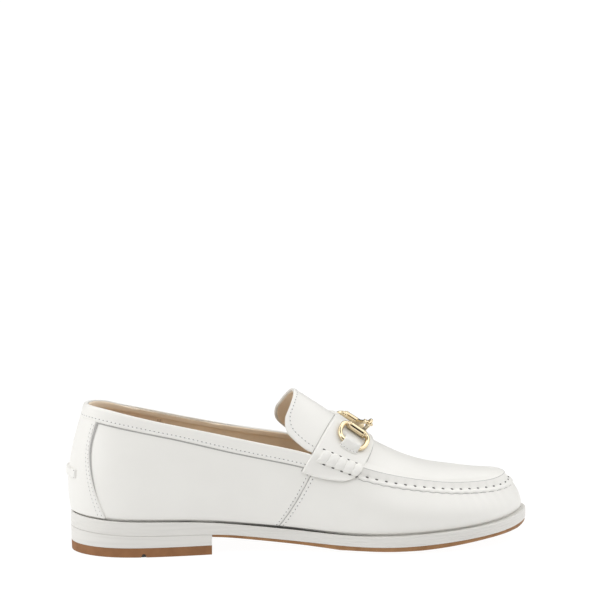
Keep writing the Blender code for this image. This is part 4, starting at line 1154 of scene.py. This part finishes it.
def strap_edges(count, near, width):
    """Shares across a strip: close together at its rounded edges, even between them."""
    rim = np.array(near) / width
    inner = np.linspace(rim[-1], 1 - rim[-1], count)
    return np.concatenate([rim[:-1], inner, 1 - rim[:-1][::-1]])


def half_arch():
    """Length of the arch from the ridge to the end of the strap, for one unit of w."""
    w = np.linspace(0, STRAP_SEAM, 40)
    return run_length(strap_face(0.5, w))[-1] / STRAP_SEAM


def strap_rear(w):
    """The c of the strap's rear edge, which is swept back most where the strap crosses the seam."""
    crossing = np.sin(np.pi / 2 * np.clip(np.abs(w) / STRAP_SEAM, 0, 1))
    end = np.clip((np.abs(w) - STRAP_SEAM) / (1 - STRAP_SEAM), 0, 1)
    return STRAP_SWEEP * (end - crossing)


def add_saddle_strap():
    """Strap across the instep, curled at its ends and lifted where its rear edge crosses the seam."""
    width = STRAP_FRONT - STRAP_REAR
    share, w = grid(strap_edges(30, [0, 0.1, 0.22, 0.4, 0.65, 1.0, 1.6], width),
                    strap_edges(190, [0, 0.08, 0.2, 0.4, 0.7, 1.2], 2 * STRAP_HALF_LENGTH) * 2 - 1)
    c = strap_rear(w) * (1 - share) + share
    out = np.abs(w)
    inset = np.minimum(np.minimum(share, 1 - share) * width, (1 - out) * STRAP_HALF_LENGTH)
    curl = STRAP_CURL * smooth(0.93, 1.0, out) * (0.4 + np.sin(np.pi * share))
    over = (1 - smooth(0, 0.35, share)) * smooth(0.66, 0.74, out) * (1 - smooth(0.88, 0.98, out))
    base = 0.05 + STRAP_CROSSING_LIFT * over + curl
    top = base + 0.05 + (STRAP_TOP - 0.1 - 0.5 * over) * rounded(inset, STRAP_EDGE_RADIUS)
    layer("saddle_strap_leather", strap_face, c, w, top, base, WHITE, replaced=["saddle_strap"], sharp=70)


def roll_across(c, across, side):
    """The w on the strap of a point of a roll, across it from its upper edge (-1) to its lower edge (1)."""
    above = ROLL_HALF_WIDTH / half_arch()
    below = ROLL_HALF_WIDTH / STRAP_END.read("drop", c) * (1 - STRAP_SEAM)
    return side * (STRAP_SEAM + across * np.where(across < 0, above, below))


def add_strap_roll(side):
    """Puffed folds over the seam at one end of the strap, with a needle hole at each end of a crease."""
    count = 24 * ROLL_FOLDS + 1
    puff = np.abs(np.sin(np.linspace(0, np.pi * ROLL_FOLDS, count)))[:, None] ** 0.6
    across = mirrored([0, 0.015, 0.05, 0.1], np.linspace(-0.83, 0.83, 17))
    c, across = grid(np.linspace(*ROLL_SPAN, count), across)
    w = roll_across(c, across * (0.88 + 0.12 * puff), side)
    dome = np.clip(1 - np.abs(across) ** 3, 0, 1) ** 0.5
    top = STRAP_TOP - 0.1 + (ROLL_HEIGHT + ROLL_PUFF * puff) * dome
    layer("roll_" + WHERE[side], strap_face, c, w, top, STRAP_TOP - ROLL_ROOT, WHITE,
          replaced=["strap_roll_" + WHERE[side]], sharp=75)
    crease = np.linspace(*ROLL_SPAN, ROLL_FOLDS + 1)
    for end, chosen in ((-1.0, crease[:-1]), (1.0, crease[1:])):
        w = roll_across(chosen, np.full(chosen.shape, end), side)
        point, normal = on_face(strap_face, chosen, w)
        heading = unit(strap_face(chosen + 0.05, w) - strap_face(chosen - 0.05, w))
        seam_holes.append((point + normal * (STRAP_TOP + 0.1), normal, heading))


# Bit


def bit_frame(side):
    """Matrix of one half of the bit: its barrel lies on X, its ring runs along Y off the ridge, Z is up."""
    c = BIT_MIDDLE + BIT_SKEW * side
    barrel_w = side * BARREL_FROM_RIDGE / half_arch()
    foot_w = side * (BARREL_FROM_RIDGE + RING_DEPTH) / half_arch()
    middle_w = (barrel_w + foot_w) / 2
    barrel = lifted(strap_face, c, barrel_w, STRAP_TOP + BARREL_LIFT[side])
    foot = lifted(strap_face, c, foot_w, STRAP_TOP + RING_FOOT_LIFT)
    forward = strap_face(c + BIT_BASE, middle_w) - strap_face(c - BIT_BASE, middle_w)
    away = Vector(foot - barrel).normalized()
    up = Vector(forward).cross(away).normalized() * side
    lengthwise = away.cross(up).normalized()
    return Matrix.Translation(Vector(barrel)) @ Matrix((lengthwise, away, up)).transposed().to_4x4()


def in_frame(matrix, points):
    return np.array([matrix @ Vector(point) for point in points])


def wire(path, radii, sides, closed=False):
    """Sections of a wire along a path, each turned with it without twisting, and whether it is a ring."""
    path = np.asarray(path, float)
    ahead = np.roll(path, -1, 0) - np.roll(path, 1, 0)
    if not closed:
        ahead[0], ahead[-1] = path[1] - path[0], path[-1] - path[-2]
    ahead = unit(ahead)
    side = np.cross(ahead[0], [0.31, 0.52, 0.79])
    turns = np.linspace(0, 2 * np.pi, sides, endpoint=False)
    rings = []
    for point, heading, radius in zip(path, ahead, np.broadcast_to(radii, len(path))):
        side = unit(side - heading * np.dot(side, heading))
        up = np.cross(heading, side)
        rings.append(point + radius * (np.outer(np.cos(turns), side) + np.outer(np.sin(turns), up)))
    return np.array(rings), closed


def ring_foot(x):
    """How far the ring reaches from its barrel at x along it."""
    share = np.abs(np.asarray(x, float) / RING_HALF_LENGTH)
    return RING_SHOULDER + (RING_DEPTH - RING_SHOULDER) * (1 - share ** RING_SQUARE) ** (1 / RING_SQUARE)


def ring_line():
    """Even points along the ring from one end of its barrel to the other, in the half's own plane."""
    turn = np.cos(np.linspace(0, np.pi, 61))
    arc_x = RING_HALF_LENGTH * np.sign(turn) * np.abs(turn) ** (2 / RING_SQUARE)
    corner = np.array(RING_CORNER.rows)
    arc = np.stack([arc_x, ring_foot(arc_x)], -1)
    knots = np.concatenate([corner, arc, corner[::-1] * [-1, 1]])
    length = run_length(knots)
    keep = np.concatenate([[True], np.diff(length) > 0.05])
    at = np.linspace(0, length[-1], 130)
    x, y = (spline(length[keep], knots[keep][:, k], at) for k in range(2))
    return np.stack([x, y, np.zeros(len(at))], -1)


def add_bit_half(side):
    """Ring and collared barrel of one half, with the arm and eye that link it over the ridge."""
    matrix = bit_frame(side)
    barrel_x = np.concatenate([BARREL.x, -BARREL.x[::-1]])
    barrel_radii = np.concatenate([BARREL.radius, BARREL.radius[::-1]]) * BARREL_SHOWN
    barrel = in_frame(matrix, [(x, 0, 0) for x in barrel_x])
    lengthwise = np.array((matrix.to_3x3() @ Vector((1, 0, 0))).normalized())
    across = np.array([0.0, side, 0.0])
    eye_centre = lifted(strap_face, LINK_MIDDLE, 0.0, STRAP_TOP + EYE_LIFT) + across * EYE_OVERLAP
    eye_up = unit(lengthwise if side == OUTER else np.cross(lengthwise, across))
    turns = np.linspace(0, 2 * np.pi, 40, endpoint=False)[:, None]
    eye = eye_centre + (across * np.cos(turns) + eye_up * np.sin(turns)) * EYE_RADIUS
    shank = eye_centre + across * EYE_RADIUS
    shares = np.linspace(0, 1, 24)
    arm = shank + (np.array(matrix @ Vector((side * ARM_OFFSET, 0, 0))) - shank) * shares[:, None]
    tubes("bit_" + WHERE[side], [
        wire(in_frame(matrix, ring_line()), RING_WIRE, 24),
        wire(barrel, barrel_radii, 36),
        wire(arm, np.interp(shares, ARM.share, ARM.radius), 20),
        wire(eye, EYE_WIRE, 16, closed=True),
    ], GILT, slot="bit_metal", replaced=["bit_half_" + WHERE[side]], sharp=45)


def strap_height(matrix, side):
    """Height of the strap's face under one half of the bit, as a function of x and y in its frame."""
    c, w = grid(np.linspace(0.1, 0.9, 9), side * np.linspace(0.3, 0.72, 12))
    x, y, z = in_frame(matrix.inverted(), lifted(strap_face, c, w, STRAP_TOP).reshape(-1, 3)).T

    def terms(x, y):
        return np.stack([np.ones_like(x), x, y, x * x, x * y, y * y, y ** 3], -1)

    fit = np.linalg.lstsq(terms(x, y), z, rcond=None)[0]
    return lambda x, y: terms(x, y) @ fit


def add_bit_loop(side):
    """Leather loop over the foot of the ring, sewn to the strap along its lower edge."""
    matrix = bit_frame(side)
    ground = strap_height(matrix, side)
    middle = side * LOOP_OFFSET
    keys = np.arange(len(LOOP_SECTION.rows))
    at = np.linspace(0, keys[-1], 61)
    rise = np.maximum(spline(keys, LOOP_SECTION.height, at), 0)
    x, y = grid(mirrored([0, 0.015, 0.05], np.linspace(-0.88, 0.88, 17)) * LOOP_HALF_WIDTH,
                spline(keys, LOOP_SECTION.reach, at))
    edge = rounded(LOOP_HALF_WIDTH - np.abs(x), LOOP_EDGE_RADIUS)
    x = x + middle
    y = y + (ring_foot(x) - RING_DEPTH) * smooth(9.0, 13.0, y)
    base = ground(x, y)
    top, bottom = (in_frame(matrix, np.stack([x, y, z], -1).reshape(-1, 3)).reshape(x.shape + (3,))
                   for z in (base + rise * (0.25 + 0.75 * edge), base - 0.3))
    slab("loop_" + WHERE[side], top, bottom, WHITE, replaced=["bit_loop_" + WHERE[side]], sharp=75)
    x = middle + np.linspace(-LOOP_HALF_WIDTH + 0.4, LOOP_HALF_WIDTH - 0.4, 30)
    y = LOOP_SEAM + ring_foot(x) - RING_DEPTH
    line = in_frame(matrix, np.stack([x, y, ground(x, y) + LOOP_STITCH_HEIGHT], -1))
    out = np.tile(np.array(matrix.to_3x3() @ Vector((0, 0, 1))), (30, 1))
    sew(line, out, LOOP_PITCH, 0.0)


# Sole and heel


def add_midsole():
    """White layered edge under the upper, slightly rounded, with faint grooves along it."""
    a = np.linspace(-1, 1, 420)[:-1]
    loops = []
    for inset, share, rise in MIDSOLE_SECTION.rows:
        plan = sole_edge(a, inset)
        top, welt = (SOLE_PROFILE.read(name, plan[:, 0]) for name in ("top", "welt"))
        loops.append(np.column_stack([plan, welt + (top - welt) * share + rise]))
    loft("midsole_edge", loops, EDGE, slot="sole_edge", replaced=["midsole"], sharp=60)


def across_sole(x, inset, shares):
    """Plan points across the sole at each x."""
    t = edge_t(SOLE_PLAN, x)
    inner, outer = sole_edge(-t, inset), sole_edge(t, inset)
    apart = np.linalg.norm(outer - inner, axis=1, keepdims=True) > TIP_WIDTH
    half = np.where(apart, outer - inner, 0) / 2
    return ((inner + outer) / 2)[:, None, :] + half[:, None, :] * np.asarray(shares)[None, :, None]


def with_height(plan, height):
    """Plan grid with a height for all of it, for each row, or for each point."""
    height = np.asarray(height, float)
    if height.ndim == 1:
        height = height[:, None]
    return np.concatenate([plan, np.broadcast_to(height, plan.shape[:2])[..., None]], -1)


def under_midsole(plan):
    """Top of a layer of the sole, just inside the midsole."""
    return with_height(plan, SOLE_PROFILE.read("welt", plan[..., 0]) - GAP / 2 + 0.1)


def add_outsole():
    """Thin brown sole of the waist and forefoot, crowned under the tread."""
    start = edge_t(SOLE_PLAN, HEEL_BREAST + GAP)
    shares = mirrored([0, 0.01, 0.03, 0.07, 0.14], np.linspace(-TREAD_FLAT, TREAD_FLAT, 11))
    plan = across_sole(edge_x(SOLE_PLAN, np.linspace(start, 1, 150)), OUTSOLE_INSET, shares)
    edge = SOLE_PROFILE.read("tread", plan[..., 0])
    fall = np.clip((1 - np.abs(shares)) / (1 - TREAD_FLAT), 0, 1)
    width = plan[:, -1:, 1] - plan[:, :1, 1]
    waist = np.clip((plan[..., 0] - HEEL_BREAST) / (CROWN_START - HEEL_BREAST), 0, 1)
    crown = TREAD_CROWN * np.clip(width / FULL_CROWN_WIDTH, 0, 1) * waist ** 2
    middle = np.clip(edge - crown, 0, None)
    bottom = with_height(plan, edge + (middle - edge) * fall * (2 - fall))
    slab("outsole_leather", under_midsole(plan), bottom, BROWN, slot="sole_leather",
         replaced=["outsole"], sharp=45)


def heel_rows(taper, stations=()):
    """Plan grid of the heel, from its back to its flat breast."""
    t = np.linspace(0, float(edge_t(SOLE_PLAN, HEEL_BREAST)), 80)
    x = np.unique(np.concatenate([edge_x(SOLE_PLAN, t), stations]))
    plan = across_sole(x, taper, mirrored([0, 0.015, 0.05], np.linspace(-0.9, 0.9, 9)))
    plan[-1, :, 0] = HEEL_BREAST
    return plan


def soften_edges(piece, width):
    bevel = piece.modifiers.new("edge", "BEVEL")
    bevel.width = width * MM
    bevel.segments = 2
    bevel.limit_method = "ANGLE"
    bevel.angle_limit = math.radians(50)


def add_heel():
    """White stacked heel on a brown top lift, with a groove across the lift darkened by a piece of painted
    shade.
    """
    bottom = with_height(heel_rows(HEEL_TAPER / 2), TOP_LIFT + 0.05)
    block = slab("heel_stack", under_midsole(heel_rows(0.0)), bottom, EDGE, slot="sole_edge",
                 replaced=["heel_block"], sharp=45)
    soften_edges(block, 0.25)
    rubber = {"slot": "top_lift_rubber", "replaced": ["heel_top_lift"]}
    groove = GROOVE_X + GROOVE_HALF_WIDTH * np.linspace(-1, 1, 9)
    top_plan, bottom_plan = heel_rows(HEEL_TAPER / 2, groove), heel_rows(HEEL_TAPER, groove)
    notch = np.clip(1 - ((top_plan[:, 2, 0] - GROOVE_X) / GROOVE_HALF_WIDTH) ** 2, 0, 1)
    bottom = with_height(bottom_plan, GROOVE_DEPTH * np.sqrt(notch))
    lift = slab("top_lift", with_height(top_plan, TOP_LIFT - 0.05), bottom, RUBBER, sharp=45, **rubber)
    soften_edges(lift, 0.35)
    # Painted shade: a near-black wedge inside the groove stands in for the shadow there
    turn = np.linspace(0, np.pi, 11)
    ends = sole_edge(edge_t(SOLE_PLAN, GROOVE_X) * np.array([-1.0, 1.0]), HEEL_TAPER + 0.5)[:, 1]
    x = GROOVE_X + 0.94 * GROOVE_HALF_WIDTH * np.cos(turn)
    z = 0.06 + 0.9 * GROOVE_DEPTH * np.sin(turn)
    loops = [np.column_stack([x, np.full(len(turn), y), z]) for y in np.linspace(*ends, 12)]
    loft("heel_groove_shade", loops, GAP_SHADE, **rubber)


# Assembly

bpy.context.scene.view_settings.view_transform = "Standard"
add_camera()
add_world()
add_light("softbox", (-0.75, -0.45, 0.55), (0.5, 0.5), 0.9, (-0.1, 0.0, 0.05))
add_floor()

add_midsole()
add_outsole()
add_heel()
add_insole()
add_wall()
add_apron()
add_lining()
add_tongue()
add_collar_band()
add_side_stitches()
add_heel_tab()
add_back_stay()
add_shade_lines()
add_apron_seam()
add_saddle_strap()
for side in (INNER, OUTER):
    add_strap_roll(side)
    add_bit_half(side)
    add_bit_loop(side)
beads("stitches", thread_rows, STITCH_SIZE, THREAD)
# Needle holes: dark beads whose colour is painted shade inside the holes
beads("stitch_holes", hole_rows, HOLE_SIZE, STITCH_SHADE)
beads("stay_holes", stay_holes, STAY_HOLE_SIZE, FAINT_STITCH_SHADE)
beads("seam_holes", seam_holes, SEAM_HOLE_SIZE, HOLE)
